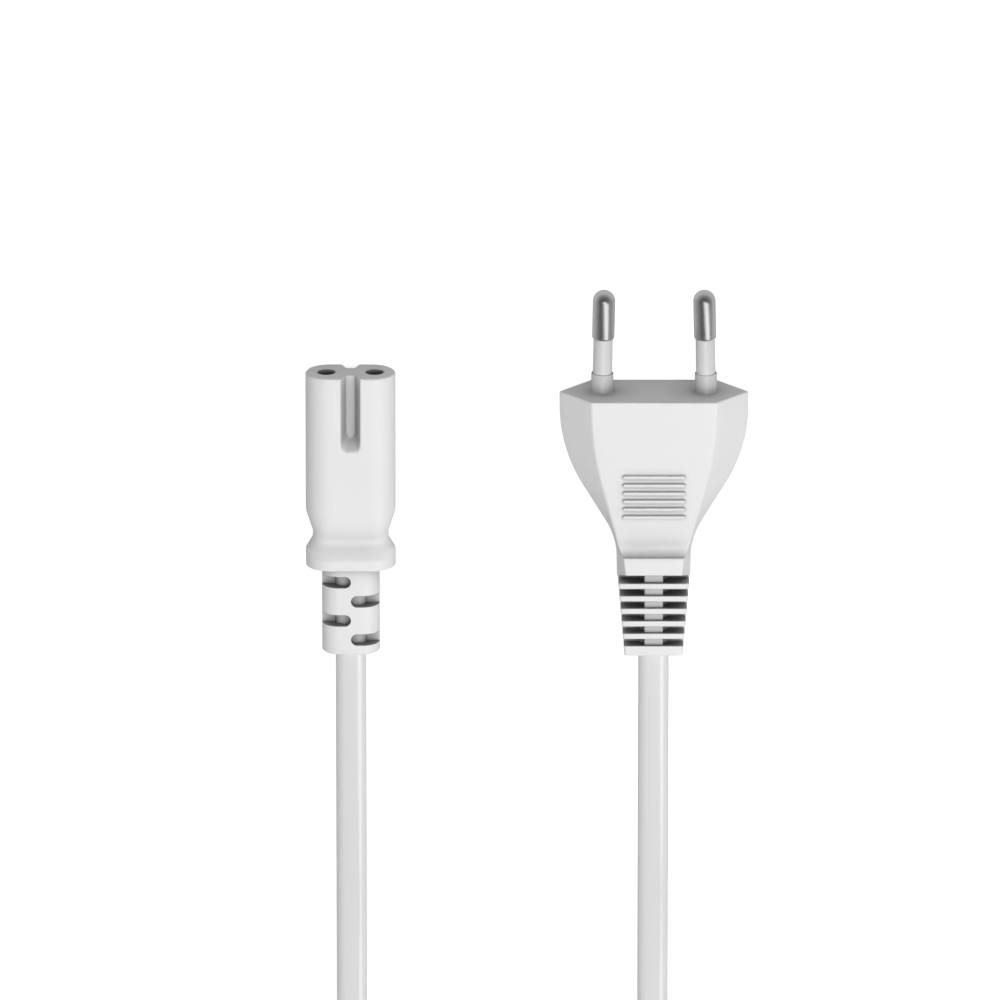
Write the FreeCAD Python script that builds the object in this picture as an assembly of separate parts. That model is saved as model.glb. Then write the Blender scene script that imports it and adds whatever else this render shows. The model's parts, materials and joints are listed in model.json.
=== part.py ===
"""Europlug mains lead: a flat two-core cord with a moulded europlug and a figure-8 connector on its ends.

Millimetres, +Z up, lying on the surface z = 0. The plug's axis runs along Y with its pins towards +Y, and the
origin is under the middle of the plug. Plug and connector are each modelled in a frame of their own, with the
mating face in the plane y = 0, the body towards -Y and the axis at z = 0, and are then set down in their
places. Along each body, "back" is the distance behind its mating face.
"""

import math
import os

import FreeCAD
import Part

V = FreeCAD.Vector

# Pins: bare round tips, thinner shanks under the insulating sleeves, crimped to the wires
PIN_LENGTH = 19.0
PIN_DIA = 4.0
PIN_SPACING_FACE = 18.6
PIN_SPACING_TIP = 17.8
PIN_BARE_LENGTH = 9.0
SLEEVE_STEP = 0.27
SLEEVE_WALL = 0.42
BRIDGE_FRONT = 2.0
BRIDGE_LENGTH = 6.0
BRIDGE_WALL = 1.8
BOSS_HEIGHT = 3.5
BOSS_WALL = 0.22

# Plug housing: a flattened hexagon that narrows to a neck with a collar
PLUG_WIDTH = 34.0
PLUG_FLAT_WIDTH = 22.3
PLUG_THICKNESS = 13.0
PLUG_FACE_BREAK = 0.25
SIDE_STRAIGHT = 2.7
SHOULDER_RADIUS = 28.5
SIDE_SLOPE_DEG = 31.5
NECK_RADIUS = 14.0
NECK_WIDTH = 13.2
NECK_THICKNESS = 5.9
NECK_FACET_RUN = 0.8
FLAT_STRAIGHT = 1.0
FLAT_RADIUS = 58.0
FACE_STRAIGHT = 6.0
COLLAR_SETBACK = 1.75
COLLAR_LENGTH = 3.4
COLLAR_THICKNESS = 9.5
COLLAR_FACET_RUN = 1.55
COLLAR_FILLET = 1.5

# Grip ribs on both broad faces of the plug
RIB_COUNT = 6
RIB_FIRST_BACK = 14.25
RIB_PITCH = 1.59
RIB_LENGTH = 11.6
RIB_WIDTH = 0.96
RIB_TOP_WIDTH = 0.4
RIB_HEIGHT = 0.38

# Strain relief of the plug: bars on a spine and a flat web, slotted from above and below
RELIEF_LENGTH = 15.7
RELIEF_WIDTH = 13.0
RELIEF_END_WIDTH = 10.5
RELIEF_THICKNESS = 8.6
RELIEF_END_THICKNESS = 6.8
SLOT_COUNT = 6
SLOT_FIRST_BACK = 0.32
SLOT_WIDTH = 1.38
SLOT_PITCH = 2.42
SPINE_WIDTH = 3.4
SPINE_RECESS = 0.35
RELIEF_WEB = 1.4

# Flat cord with two insulated cores
CORD_WIDTH = 5.5
CORD_THICKNESS = 3.3
CORE_DIA = 2.1
CORE_SPLAY = 2.7
WIRE_DIA = 1.1
CRIMP_LENGTH = 5.0
CRIMP_DEPTH = 4.0
SHEATH_IN_PLUG = 6.3

# Figure-8 connector: a flat-sided oval with two sockets and a groove on each broad face
CONN_WIDTH = 16.1
CONN_THICKNESS = 8.55
HOLE_PITCH = 8.6
HOLE_DIA = 3.24
GROOVE_WIDTH = 3.5
GROOVE_FLOOR_WIDTH = 1.6
GROOVE_DEPTH = 2.2
GROOVE_LENGTH = 13.9
GROOVE_END_RUN = 1.9
GRIP_LENGTH = 25.9
WAIST_DEPTH = 1.38
WAIST_BACK = 4.1
WAIST_RISE = 1.9
WAIST_FLAT = 1.2
FLANGE_LENGTH = 3.3
CONN_RELIEF_LENGTH = 16.2
CONN_RELIEF_WIDTH = 10.35
CONN_RELIEF_THICKNESS = 6.7
NOTCH_COUNT = 4
NOTCH_WIDTH = 2.16
NOTCH_FIRST_BACK = 2.45
NOTCH_PITCH = 3.63
NOTCH_WEB = 1.4

# Inside the connector: a carrier with two tubular contacts that take 2.4 mm pins
CONTACT_BORE = 2.4
CONTACT_WALL = 0.5
CONTACT_LENGTH = 12.5
CARRIER_FRONT = 2.5
CARRIER_WALL = 0.6
CARRIER_WEB = 2.4
SHEATH_IN_CONN = 1.0

# Where the connector lies beside the plug, and where the rest of the cord is wound up
CONN_ASIDE = 54.2
CONN_AHEAD = 2.9
CORD_TURN = -115.2
CORD_DIP_PLUG = -62.0
CORD_DIP_CONN = -66.0
COIL_TURNS_WIDE = 4.28
COIL_LAYERS = 2
COIL_RADIUS = 35.5
COIL_LEAD_DEG = 10.0
COIL_LEAD_LENGTH = 18.2
TIE_WIDTH = 8.0
TIE_THICKNESS = 0.8
TIE_SQUEEZE = 0.5
TIE_LAP = 6.0


# Small geometry helpers

QUARTERS = ((1, 1), (-1, 1), (-1, -1), (1, -1))


def oval_wire(width, thickness, back):
    """Stadium outline, flat sides up and down, across the axis at this distance behind the mating face."""
    radius = thickness / 2
    reach = width / 2 - radius
    right = Part.Arc(V(reach, -back, -radius), V(reach + radius, -back, 0), V(reach, -back, radius))
    left = Part.Arc(V(-reach, -back, radius), V(-reach - radius, -back, 0), V(-reach, -back, -radius))
    top = Part.LineSegment(V(reach, -back, radius), V(-reach, -back, radius))
    bottom = Part.LineSegment(V(-reach, -back, -radius), V(reach, -back, -radius))
    return Part.Wire([right.toShape(), top.toShape(), left.toShape(), bottom.toShape()])


def flat_sided(width, thickness, back):
    """Face across a cord or core, with three flats round each edge so that it stays plain in its bends."""
    half = thickness / 2
    reach = width / 2
    flat = half * (math.sqrt(2) - 1)
    quarter = [(reach, flat), (reach - half + flat, half)]
    upper = quarter + [(-x, z) for x, z in reversed(quarter)]
    corners = [V(x, -back, z) for x, z in upper] + [V(-x, -back, -z) for x, z in upper]
    return Part.Face(Part.makePolygon(corners + corners[:1]))


def turned(profile):
    """Solid turned about the Y axis from (radius, y) points; a longer entry is an arc to its last point."""
    edges = []
    here = profile[0]
    for step in profile[1:]:
        if len(step) == 2:
            edges.append(Part.LineSegment(V(here[0], here[1], 0), V(step[0], step[1], 0)).toShape())
            here = step
        else:
            middle, here_next = step[:2], step[2:]
            ends = [V(x, y, 0) for x, y in (here, middle, here_next)]
            edges.append(Part.Arc(*ends).toShape())
            here = here_next
    return Part.Face(Part.Wire(edges)).revolve(V(0, 0, 0), V(0, 1, 0), 360)


def swept(section, points):
    """Sweeps a face along straight runs joined by tangent arcs.

    Returns the solid, the face at its far end, the length of the middle line and the arcs' radii. Each arc is
    as large as the shorter of its two runs allows.
    """
    pieces = []
    radii = []
    length = 0.0
    start = points[0]
    for here, corner, after in zip(points, points[1:], points[2:]):
        into = (corner - here).normalize()
        out = (after - corner).normalize()
        half = into.getAngle(out) / 2
        reach = 0.45 * min((corner - here).Length, (after - corner).Length)
        radius = reach / math.tan(half)
        arc_start = corner - into * reach
        pieces.append(section.extrude(arc_start - start))
        section = section.translated(arc_start - start)
        axis = into.cross(out).normalize()
        centre = arc_start + axis.cross(into) * radius
        turn = math.degrees(2 * half)
        pieces.append(section.revolve(centre, axis, turn))
        section = section.copy()
        section.rotate(centre, axis, turn)
        length += (arc_start - start).Length + radius * 2 * half
        radii.append(radius)
        start = corner + out * reach
    pieces.append(section.extrude(points[-1] - start))
    section = section.translated(points[-1] - start)
    length += (points[-1] - start).Length
    solid = pieces[0].multiFuse(pieces[1:]).removeSplitter()
    return solid.Solids[0], section, length, radii


# Plug housing outline, worked out along its axis

SLOPE = math.radians(SIDE_SLOPE_DEG)
SHOULDER_END = SIDE_STRAIGHT + SHOULDER_RADIUS * math.sin(SLOPE)
SHOULDER_DROP = SHOULDER_RADIUS * (1 - math.cos(SLOPE))
NECK_DROP = NECK_RADIUS * (1 - math.cos(SLOPE))
NECK_START = SHOULDER_END + ((PLUG_WIDTH - NECK_WIDTH) / 2 - SHOULDER_DROP - NECK_DROP) / math.tan(SLOPE)
NECK_END = NECK_START + NECK_RADIUS * math.sin(SLOPE)
COLLAR_FRONT = NECK_END - COLLAR_SETBACK
COLLAR_END = COLLAR_FRONT + COLLAR_LENGTH
RELIEF_END = COLLAR_END + RELIEF_LENGTH
FACE_RUN = COLLAR_FRONT - FACE_STRAIGHT
FACE_DROP = (PLUG_THICKNESS - NECK_THICKNESS) / 2
FACE_RADIUS = (FACE_RUN ** 2 + FACE_DROP ** 2) / (2 * FACE_DROP)


def side_half_width(back):
    """Half-width at mid-height: straight, round shoulder, straight slope, then a hollow arc into the neck."""
    if back <= SIDE_STRAIGHT:
        return PLUG_WIDTH / 2
    if back <= SHOULDER_END:
        level = math.sqrt(SHOULDER_RADIUS ** 2 - (back - SIDE_STRAIGHT) ** 2)
        return PLUG_WIDTH / 2 - SHOULDER_RADIUS + level
    if back <= NECK_START:
        return PLUG_WIDTH / 2 - SHOULDER_DROP - (back - SHOULDER_END) * math.tan(SLOPE)
    if back <= NECK_END:
        return NECK_WIDTH / 2 + NECK_RADIUS - math.sqrt(NECK_RADIUS ** 2 - (NECK_END - back) ** 2)
    return NECK_WIDTH / 2


def flat_half_width(back):
    """Half-width of the broad face: an arc that eases into the straight line to the neck."""
    rise = FLAT_RADIUS - PLUG_FLAT_WIDTH / 2 + side_half_width(COLLAR_FRONT) - NECK_FACET_RUN
    run = COLLAR_FRONT - FLAT_STRAIGHT
    turn = math.pi / 2 - math.atan2(rise, run) - math.acos(FLAT_RADIUS / math.hypot(run, rise))
    along = back - FLAT_STRAIGHT
    if along <= 0:
        return PLUG_FLAT_WIDTH / 2
    if along <= FLAT_RADIUS * math.sin(turn):
        return PLUG_FLAT_WIDTH / 2 - FLAT_RADIUS + math.sqrt(FLAT_RADIUS ** 2 - along ** 2)
    end_of_arc = PLUG_FLAT_WIDTH / 2 - FLAT_RADIUS * (1 - math.cos(turn))
    return end_of_arc - (along - FLAT_RADIUS * math.sin(turn)) * math.tan(turn)


def half_thickness(back):
    """Half-thickness: flat near the mating face, then one long arc down to the neck."""
    along = max(0.0, back - FACE_STRAIGHT)
    return PLUG_THICKNESS / 2 - FACE_RADIUS + math.sqrt(FACE_RADIUS ** 2 - along ** 2)


def hexagon(back, half_width, flat_half, half_height):
    """Hexagonal section, two of its corners at mid-height."""
    right = [(flat_half, -half_height), (half_width, 0), (flat_half, half_height)]
    corners = [V(sign * x, -back, sign * z) for sign in (1, -1) for x, z in right]
    return Part.makePolygon(corners + corners[:1])


# Pins, sleeves and what holds them

PIN_LEAN = math.atan2((PIN_SPACING_FACE - PIN_SPACING_TIP) / 2, PIN_LENGTH)
SLEEVE_DIA = PIN_DIA - 2 * SLEEVE_STEP
SHANK_DIA = SLEEVE_DIA - 2 * SLEEVE_WALL
BRIDGE_BACK = BRIDGE_FRONT + BRIDGE_LENGTH
CRIMP_END = BRIDGE_BACK + CRIMP_LENGTH
PIN_SHOULDER = PIN_LENGTH - PIN_BARE_LENGTH


def on_pin(shape, side):
    """Sets a shape made along the Y axis onto a pin's axis; the pins lean towards each other."""
    placed = shape.copy()
    placed.rotate(V(0, 0, 0), V(0, 0, 1), side * math.degrees(PIN_LEAN))
    placed.translate(V(side * PIN_SPACING_FACE / 2, 0, 0))
    return placed


def pin_blank():
    """Turned pin: round tip, shoulder and a thinner shank that runs back to the crimp."""
    r_pin = PIN_DIA / 2
    r_shank = SHANK_DIA / 2
    tip = r_pin * math.sqrt(0.5)
    return turned([
        (0, -CRIMP_END),
        (r_shank, -CRIMP_END),
        (r_shank, PIN_SHOULDER),
        (r_pin, PIN_SHOULDER),
        (r_pin, PIN_LENGTH - r_pin),
        (tip, PIN_LENGTH - r_pin + tip, 0, PIN_LENGTH),
        (0, -CRIMP_END),
    ])


def sleeve_blank():
    """Insulating sleeve, from the back of the bridge up to the pin's shoulder."""
    return turned([
        (SHANK_DIA / 2, -BRIDGE_BACK),
        (SLEEVE_DIA / 2, -BRIDGE_BACK),
        (SLEEVE_DIA / 2, PIN_SHOULDER),
        (SHANK_DIA / 2, PIN_SHOULDER),
        (SHANK_DIA / 2, -BRIDGE_BACK),
    ])


def boss_blank():
    """Moulded boss round the foot of a sleeve."""
    radius = SLEEVE_DIA / 2 + BOSS_WALL
    return Part.makeCylinder(radius, BRIDGE_FRONT + BOSS_HEIGHT, V(0, -BRIDGE_FRONT, 0), V(0, 1, 0))


def core_and_wire(seat, axis, crimp_end, sheath_end):
    """One core, insulated from the sheath's end to the back of its crimp, and its bare wire in the crimp.

    The crimped piece starts at seat and runs backwards along axis.
    """
    bare = seat + axis * crimp_end
    start = V(math.copysign(CORE_SPLAY / 2, seat.x), -sheath_end, 0)
    run = bare - start
    turn = math.degrees(math.atan2(-run.x, run.y))
    lean = math.degrees(math.atan2(axis.x, -axis.y))
    over = CORE_DIA
    core = flat_sided(CORE_DIA, CORE_DIA, over).extrude(V(0, run.Length + 2 * over, 0))
    core.rotate(V(0, 0, 0), V(0, 0, 1), turn)
    core.translate(start)
    ends = Part.makeBox(4 * over, 2 * over, 2 * over, V(-2 * over, 0, -over))
    ahead = ends.copy()
    ahead.rotate(V(0, 0, 0), V(0, 0, 1), lean)
    behind = ends.translated(start - V(0, 2 * over, 0))
    wire = flat_sided(WIRE_DIA, WIRE_DIA, 0).extrude(V(0, CRIMP_DEPTH, 0))
    wire.rotate(V(0, 0, 0), V(0, 0, 1), lean)
    return core.cut([ahead.translated(bare), behind]), wire.translated(bare)


def grip_ribs():
    """Raised ribs on both broad faces, sloped on all four sides."""
    ribs = []
    for i in range(RIB_COUNT):
        back = RIB_FIRST_BACK + i * RIB_PITCH
        slope = (RIB_WIDTH - RIB_TOP_WIDTH) / 2
        foot = half_thickness(back + RIB_WIDTH / 2) - RIB_HEIGHT
        top = half_thickness(back) + RIB_HEIGHT
        for up in (1, -1):
            wires = []
            for inset, level in ((0, foot), (0, half_thickness(back)), (slope, top)):
                x = RIB_LENGTH / 2 - inset
                y = RIB_WIDTH / 2 - inset
                corners = [V(sx * x, sy * y - back, up * level) for sx, sy in QUARTERS]
                wires.append(Part.makePolygon(corners + corners[:1]))
            ribs.append(Part.makeLoft(wires, True, True))
    return ribs


def plug_shell():
    """Outside of the housing: lofted hexagons with a fine chamfer round the mating face."""
    stations = 8
    last = COLLAR_FRONT + COLLAR_LENGTH / 2
    backs = [PLUG_FACE_BREAK + (last - PLUG_FACE_BREAK) * i / (stations - 1) for i in range(stations)]
    sections = [hexagon(b, side_half_width(b), flat_half_width(b), half_thickness(b)) for b in backs]
    main = Part.makeLoft(sections, True, False)
    small = hexagon(0, PLUG_WIDTH / 2 - PLUG_FACE_BREAK, PLUG_FLAT_WIDTH / 2 - PLUG_FACE_BREAK / 2,
                    PLUG_THICKNESS / 2 - PLUG_FACE_BREAK)
    return main.fuse(Part.makeLoft([small, sections[0]], True, True))


def collar():
    """Collar at the neck: its front wall rises out of the broad face in a hollow fillet."""
    half = COLLAR_THICKNESS / 2
    tilt = math.asin((COLLAR_FRONT - COLLAR_FILLET - FACE_STRAIGHT) / FACE_RADIUS)
    centre_back = COLLAR_FRONT - COLLAR_FILLET
    centre_up = half_thickness(centre_back) + COLLAR_FILLET / math.cos(tilt)
    foot_back = centre_back - COLLAR_FILLET * math.sin(tilt)
    foot_up = centre_up - COLLAR_FILLET * math.cos(tilt)
    bend = (math.pi / 2 - tilt) / 2 - math.pi / 2
    middle_back = centre_back + COLLAR_FILLET * math.sin(bend + math.pi / 2)
    middle_up = centre_up - COLLAR_FILLET * math.cos(bend + math.pi / 2)
    top = max(half, centre_up)

    def at(back, up):
        return V(-PLUG_WIDTH / 2, -back, up)

    upper = Part.Arc(at(foot_back, foot_up), at(middle_back, middle_up), at(COLLAR_FRONT, centre_up))
    edges = [upper.toShape()]
    corners = [at(COLLAR_FRONT, top), at(COLLAR_END, top), at(COLLAR_END, -top), at(COLLAR_FRONT, -top)]
    here = at(COLLAR_FRONT, centre_up)
    for corner in corners + [at(COLLAR_FRONT, -centre_up)]:
        if (corner - here).Length > 0:
            edges.append(Part.LineSegment(here, corner).toShape())
        here = corner
    lower = Part.Arc(here, at(middle_back, -middle_up), at(foot_back, -foot_up))
    edges.append(lower.toShape())
    edges.append(Part.LineSegment(at(foot_back, -foot_up), at(foot_back, foot_up)).toShape())
    side_view = Part.Face(Part.Wire(edges)).extrude(V(PLUG_WIDTH, 0, 0))
    stations = 3
    backs = [foot_back + (COLLAR_END - foot_back) * i / (stations - 1) for i in range(stations)]
    sections = [hexagon(b, side_half_width(b), side_half_width(b) - COLLAR_FACET_RUN, half) for b in backs]
    return Part.makeLoft(sections, True, False).common(side_view)


def plug_relief():
    """Tapered strain relief: bars on a web and on a lower spine, slotted from above and below."""
    def outline(back, width, thickness):
        corners = [V(sx * width / 2, -back, sz * thickness / 2) for sx, sz in QUARTERS]
        return Part.makePolygon(corners + corners[:1])

    relief = Part.makeLoft([outline(COLLAR_END, RELIEF_WIDTH, RELIEF_THICKNESS),
                            outline(RELIEF_END, RELIEF_END_WIDTH, RELIEF_END_THICKNESS)], True, True)
    cuts = []
    for i in range(SLOT_COUNT):
        front = COLLAR_END + (SLOT_FIRST_BACK + i * SLOT_PITCH if i else 0)
        length = SLOT_WIDTH if i else SLOT_FIRST_BACK + SLOT_WIDTH
        share = (front + length / 2 - COLLAR_END) / RELIEF_LENGTH
        thickness = RELIEF_THICKNESS + (RELIEF_END_THICKNESS - RELIEF_THICKNESS) * share
        floor = thickness / 2 - SPINE_RECESS
        for up in (1, -1):
            low_z = RELIEF_WEB / 2 if up > 0 else -RELIEF_WEB / 2 - RELIEF_THICKNESS
            slot = Part.makeBox(RELIEF_WIDTH, length, RELIEF_THICKNESS)
            for low_x in (SPINE_WIDTH / 2, -SPINE_WIDTH / 2 - RELIEF_WIDTH):
                cuts.append(slot.translated(V(low_x, -front - length, low_z)))
            recess = Part.makeBox(SPINE_WIDTH, length, RELIEF_THICKNESS)
            low_z = floor if up > 0 else -floor - RELIEF_THICKNESS
            cuts.append(recess.translated(V(-SPINE_WIDTH / 2, -front - length, low_z)))
    return relief.cut(cuts)


def make_plug():
    """All the pieces of the plug, in its own frame."""
    nodes = {}
    height = SLEEVE_DIA + 2 * BRIDGE_WALL
    reach = PIN_SPACING_FACE + height
    bridge = Part.makeBox(reach, BRIDGE_LENGTH, height, V(-reach / 2, -BRIDGE_BACK, -height / 2))
    sheath_end = COLLAR_END - SHEATH_IN_PLUG
    cord = flat_sided(CORD_WIDTH, CORD_THICKNESS, sheath_end).extrude(V(0, sheath_end - RELIEF_END, 0))
    outside = plug_shell().fuse([collar(), plug_relief()] + grip_ribs())
    for side, name in ((1, "right"), (-1, "left")):
        nodes["pin_sleeve_" + name] = on_pin(sleeve_blank(), side)
        seat = V(side * PIN_SPACING_FACE / 2, 0, 0)
        axis = V(side * math.sin(PIN_LEAN), -math.cos(PIN_LEAN), 0)
        core, wire = core_and_wire(seat, axis, CRIMP_END, sheath_end)
        nodes["pin_" + name] = on_pin(pin_blank(), side).cut(wire)
        nodes["plug_core_" + name] = core
        nodes["plug_wire_" + name] = wire
        outside = outside.fuse(on_pin(boss_blank(), side))
    insides = list(nodes.values())
    nodes["pin_bridge"] = bridge.cut(insides)
    nodes["plug_body"] = outside.cut(insides + [bridge, cord])
    return nodes


# Connector

CONN_CENTRE = (CONN_WIDTH - CONN_THICKNESS) / 2
FLANGE_FRONT = GRIP_LENGTH + WAIST_BACK + WAIST_FLAT + WAIST_RISE
FLANGE_END = FLANGE_FRONT + FLANGE_LENGTH
CONN_END = FLANGE_END + CONN_RELIEF_LENGTH
CONTACT_FRONT = CARRIER_FRONT
CONTACT_DIA = CONTACT_BORE + 2 * CONTACT_WALL
CONTACT_BACK = CONTACT_FRONT + CONTACT_LENGTH
CARRIER_BACK = CONTACT_BACK
CONTACT_CRIMP_END = CONTACT_BACK + CRIMP_LENGTH


def connector_shell():
    """Outside of the grip: one waisted profile, drawn out across the middle and turned round both sides."""
    full = CONN_THICKNESS / 2
    waist = full - WAIST_DEPTH
    waist_end = FLANGE_FRONT - WAIST_RISE
    outline = [(0, full), (GRIP_LENGTH, full), (waist_end - WAIST_FLAT, waist), (waist_end, waist),
               (FLANGE_FRONT, full), (FLANGE_END, full)]
    mirrored = [(back, -up) for back, up in reversed(outline)]
    across = [V(-CONN_CENTRE, -back, up) for back, up in outline + mirrored]
    shell = Part.Face(Part.makePolygon(across + across[:1])).extrude(V(2 * CONN_CENTRE, 0, 0))
    for side in (1, -1):
        profile = [V(side * CONN_CENTRE, -back, up) for back, up in outline + [(FLANGE_END, 0), (0, 0)]]
        face = Part.Face(Part.makePolygon(profile + profile[:1]))
        shell = shell.fuse(face.revolve(V(side * CONN_CENTRE, 0, 0), V(0, 1, 0), side * 180))
    return shell


def groove(up):
    """Keying groove of one broad face: tapered walls and a sloping end."""
    over = 0.5
    flare = (GROOVE_WIDTH - GROOVE_FLOOR_WIDTH) / GROOVE_DEPTH * over
    end_flare = GROOVE_END_RUN / GROOVE_DEPTH * over
    levels = [(GROOVE_FLOOR_WIDTH, GROOVE_LENGTH - GROOVE_END_RUN, CONN_THICKNESS / 2 - GROOVE_DEPTH),
              (GROOVE_WIDTH + flare, GROOVE_LENGTH + end_flare, CONN_THICKNESS / 2 + over)]
    wires = []
    for width, length, level in levels:
        corners = [V(sx * width / 2, -back, up * level) for sx, back in
                   ((-1, -over), (1, -over), (1, length), (-1, length))]
        wires.append(Part.makePolygon(corners + corners[:1]))
    return Part.makeLoft(wires, True, True)


def connector_relief():
    """Oval strain relief with round-ended notches from alternate sides, above and below a flat web."""
    outline = Part.Face(oval_wire(CONN_RELIEF_WIDTH, CONN_RELIEF_THICKNESS, FLANGE_END))
    relief = outline.extrude(V(0, -CONN_RELIEF_LENGTH, 0))
    cuts = []
    for i in range(NOTCH_COUNT):
        back = FLANGE_END + NOTCH_FIRST_BACK + i * NOTCH_PITCH
        side = -1 if i % 2 == 0 else 1
        tip = NOTCH_WIDTH / 2
        low_x = tip if side > 0 else -tip - CONN_WIDTH
        for low_z in (NOTCH_WEB / 2, -NOTCH_WEB / 2 - CONN_THICKNESS):
            end = Part.makeCylinder(tip, CONN_THICKNESS, V(side * tip, -back, low_z), V(0, 0, 1))
            run = Part.makeBox(CONN_WIDTH, NOTCH_WIDTH, CONN_THICKNESS)
            cuts.append(end.fuse(run.translated(V(low_x, -back - tip, low_z))))
    return relief.cut(cuts)


def contact_blank():
    """Tubular contact with a closed back that runs on to the crimp, along the Y axis."""
    floor = CONTACT_BACK - CONTACT_WALL
    return turned([
        (CONTACT_BORE / 2, -CONTACT_FRONT),
        (CONTACT_DIA / 2, -CONTACT_FRONT),
        (CONTACT_DIA / 2, -CONTACT_CRIMP_END),
        (0, -CONTACT_CRIMP_END),
        (0, -floor),
        (CONTACT_BORE / 2, -floor),
        (CONTACT_BORE / 2, -CONTACT_FRONT),
    ])


def make_connector():
    """All the pieces of the connector, in its own frame."""
    nodes = {}
    tube = CONTACT_DIA / 2 + CARRIER_WALL
    length = CARRIER_BACK - CARRIER_FRONT
    web = Part.makeBox(HOLE_PITCH, length, CARRIER_WEB, V(-HOLE_PITCH / 2, -CARRIER_BACK, -CARRIER_WEB / 2))
    holes = []
    tubes = []
    for side in (1, -1):
        axis_x = side * HOLE_PITCH / 2
        tubes.append(Part.makeBox(2 * tube, length, 2 * tube, V(axis_x - tube, -CARRIER_BACK, -tube)))
        holes.append(Part.makeCylinder(HOLE_DIA / 2, CONTACT_FRONT, V(axis_x, -CONTACT_FRONT, 0), V(0, 1, 0)))
    block = web.fuse(tubes).removeSplitter()
    sheath_end = FLANGE_END - SHEATH_IN_CONN
    for side, name in ((1, "right"), (-1, "left")):
        axis_x = side * HOLE_PITCH / 2
        core, wire = core_and_wire(V(axis_x, 0, 0), V(0, -1, 0), CONTACT_CRIMP_END, sheath_end)
        nodes["contact_" + name] = contact_blank().translated(V(axis_x, 0, 0)).cut(wire)
        nodes["connector_core_" + name] = core
        nodes["connector_wire_" + name] = wire
    insides = list(nodes.values())
    # The contacts' own hollows stay empty of carrier plastic
    backs = [V(side * HOLE_PITCH / 2, -CONTACT_BACK, 0) for side in (1, -1)]
    bores = [Part.makeCylinder(CONTACT_DIA / 2, CONTACT_LENGTH, place, V(0, 1, 0)) for place in backs]
    nodes["contact_carrier"] = block.cut(insides + holes + bores)
    cord = flat_sided(CORD_WIDTH, CORD_THICKNESS, sheath_end).extrude(V(0, sheath_end - CONN_END, 0))
    outside = connector_shell().fuse(connector_relief())
    nodes["connector_body"] = outside.cut([groove(1), groove(-1), cord, block] + insides + holes)
    return nodes


# Cord, coil and tie

PLUG_PLACE = V(0, (RELIEF_END - PIN_LENGTH) / 2, PLUG_THICKNESS / 2)
CONN_PLACE = V(-CONN_ASIDE, PLUG_PLACE.y + CONN_AHEAD, CONN_THICKNESS / 2)
COIL_LEAD = math.radians(COIL_LEAD_DEG)
COIL_LEAD_RUN = (COIL_RADIUS * math.cos(COIL_LEAD) - CONN_ASIDE / 2) / math.sin(COIL_LEAD)
COIL_BACK = COIL_LEAD_RUN * math.cos(COIL_LEAD) + COIL_RADIUS * math.sin(COIL_LEAD)
COIL_CENTRE = V(-CONN_ASIDE / 2, CORD_TURN - COIL_BACK, 0)
COIL_OUTER = COIL_RADIUS + CORD_THICKNESS / 2
COIL_INNER = COIL_OUTER - COIL_TURNS_WIDE * CORD_THICKNESS
COIL_HEIGHT = COIL_LAYERS * CORD_WIDTH


def cord_run(place, sheath_back, dip_y, side, coil_level):
    """One free stretch of cord: out of its strain relief, down to the surface, then out to the coil's flank.

    Returns the tube up to the coil, and the last bit that lies against the coil.
    """
    laid = CORD_THICKNESS / 2
    touch = V(COIL_CENTRE.x + side * (COIL_RADIUS * math.cos(COIL_LEAD)),
              COIL_CENTRE.y + COIL_RADIUS * math.sin(COIL_LEAD), coil_level)
    turn = V(place.x, CORD_TURN, laid)
    lead = (touch - turn).normalize()
    end = touch - lead * COIL_LEAD_LENGTH
    points = [place + V(0, -sheath_back, 0), V(place.x, dip_y, place.z), turn, end]
    section = flat_sided(CORD_WIDTH, CORD_THICKNESS, 0).translated(points[0])
    tube, last, length, radii = swept(section, points)
    print("cord run: length %.1f, radii %s, volume / (section x length) %.5f"
          % (length, ["%.0f" % r for r in radii], tube.Volume / (section.Area * length)))
    return tube, last.extrude(lead * COIL_LEAD_LENGTH)


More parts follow.
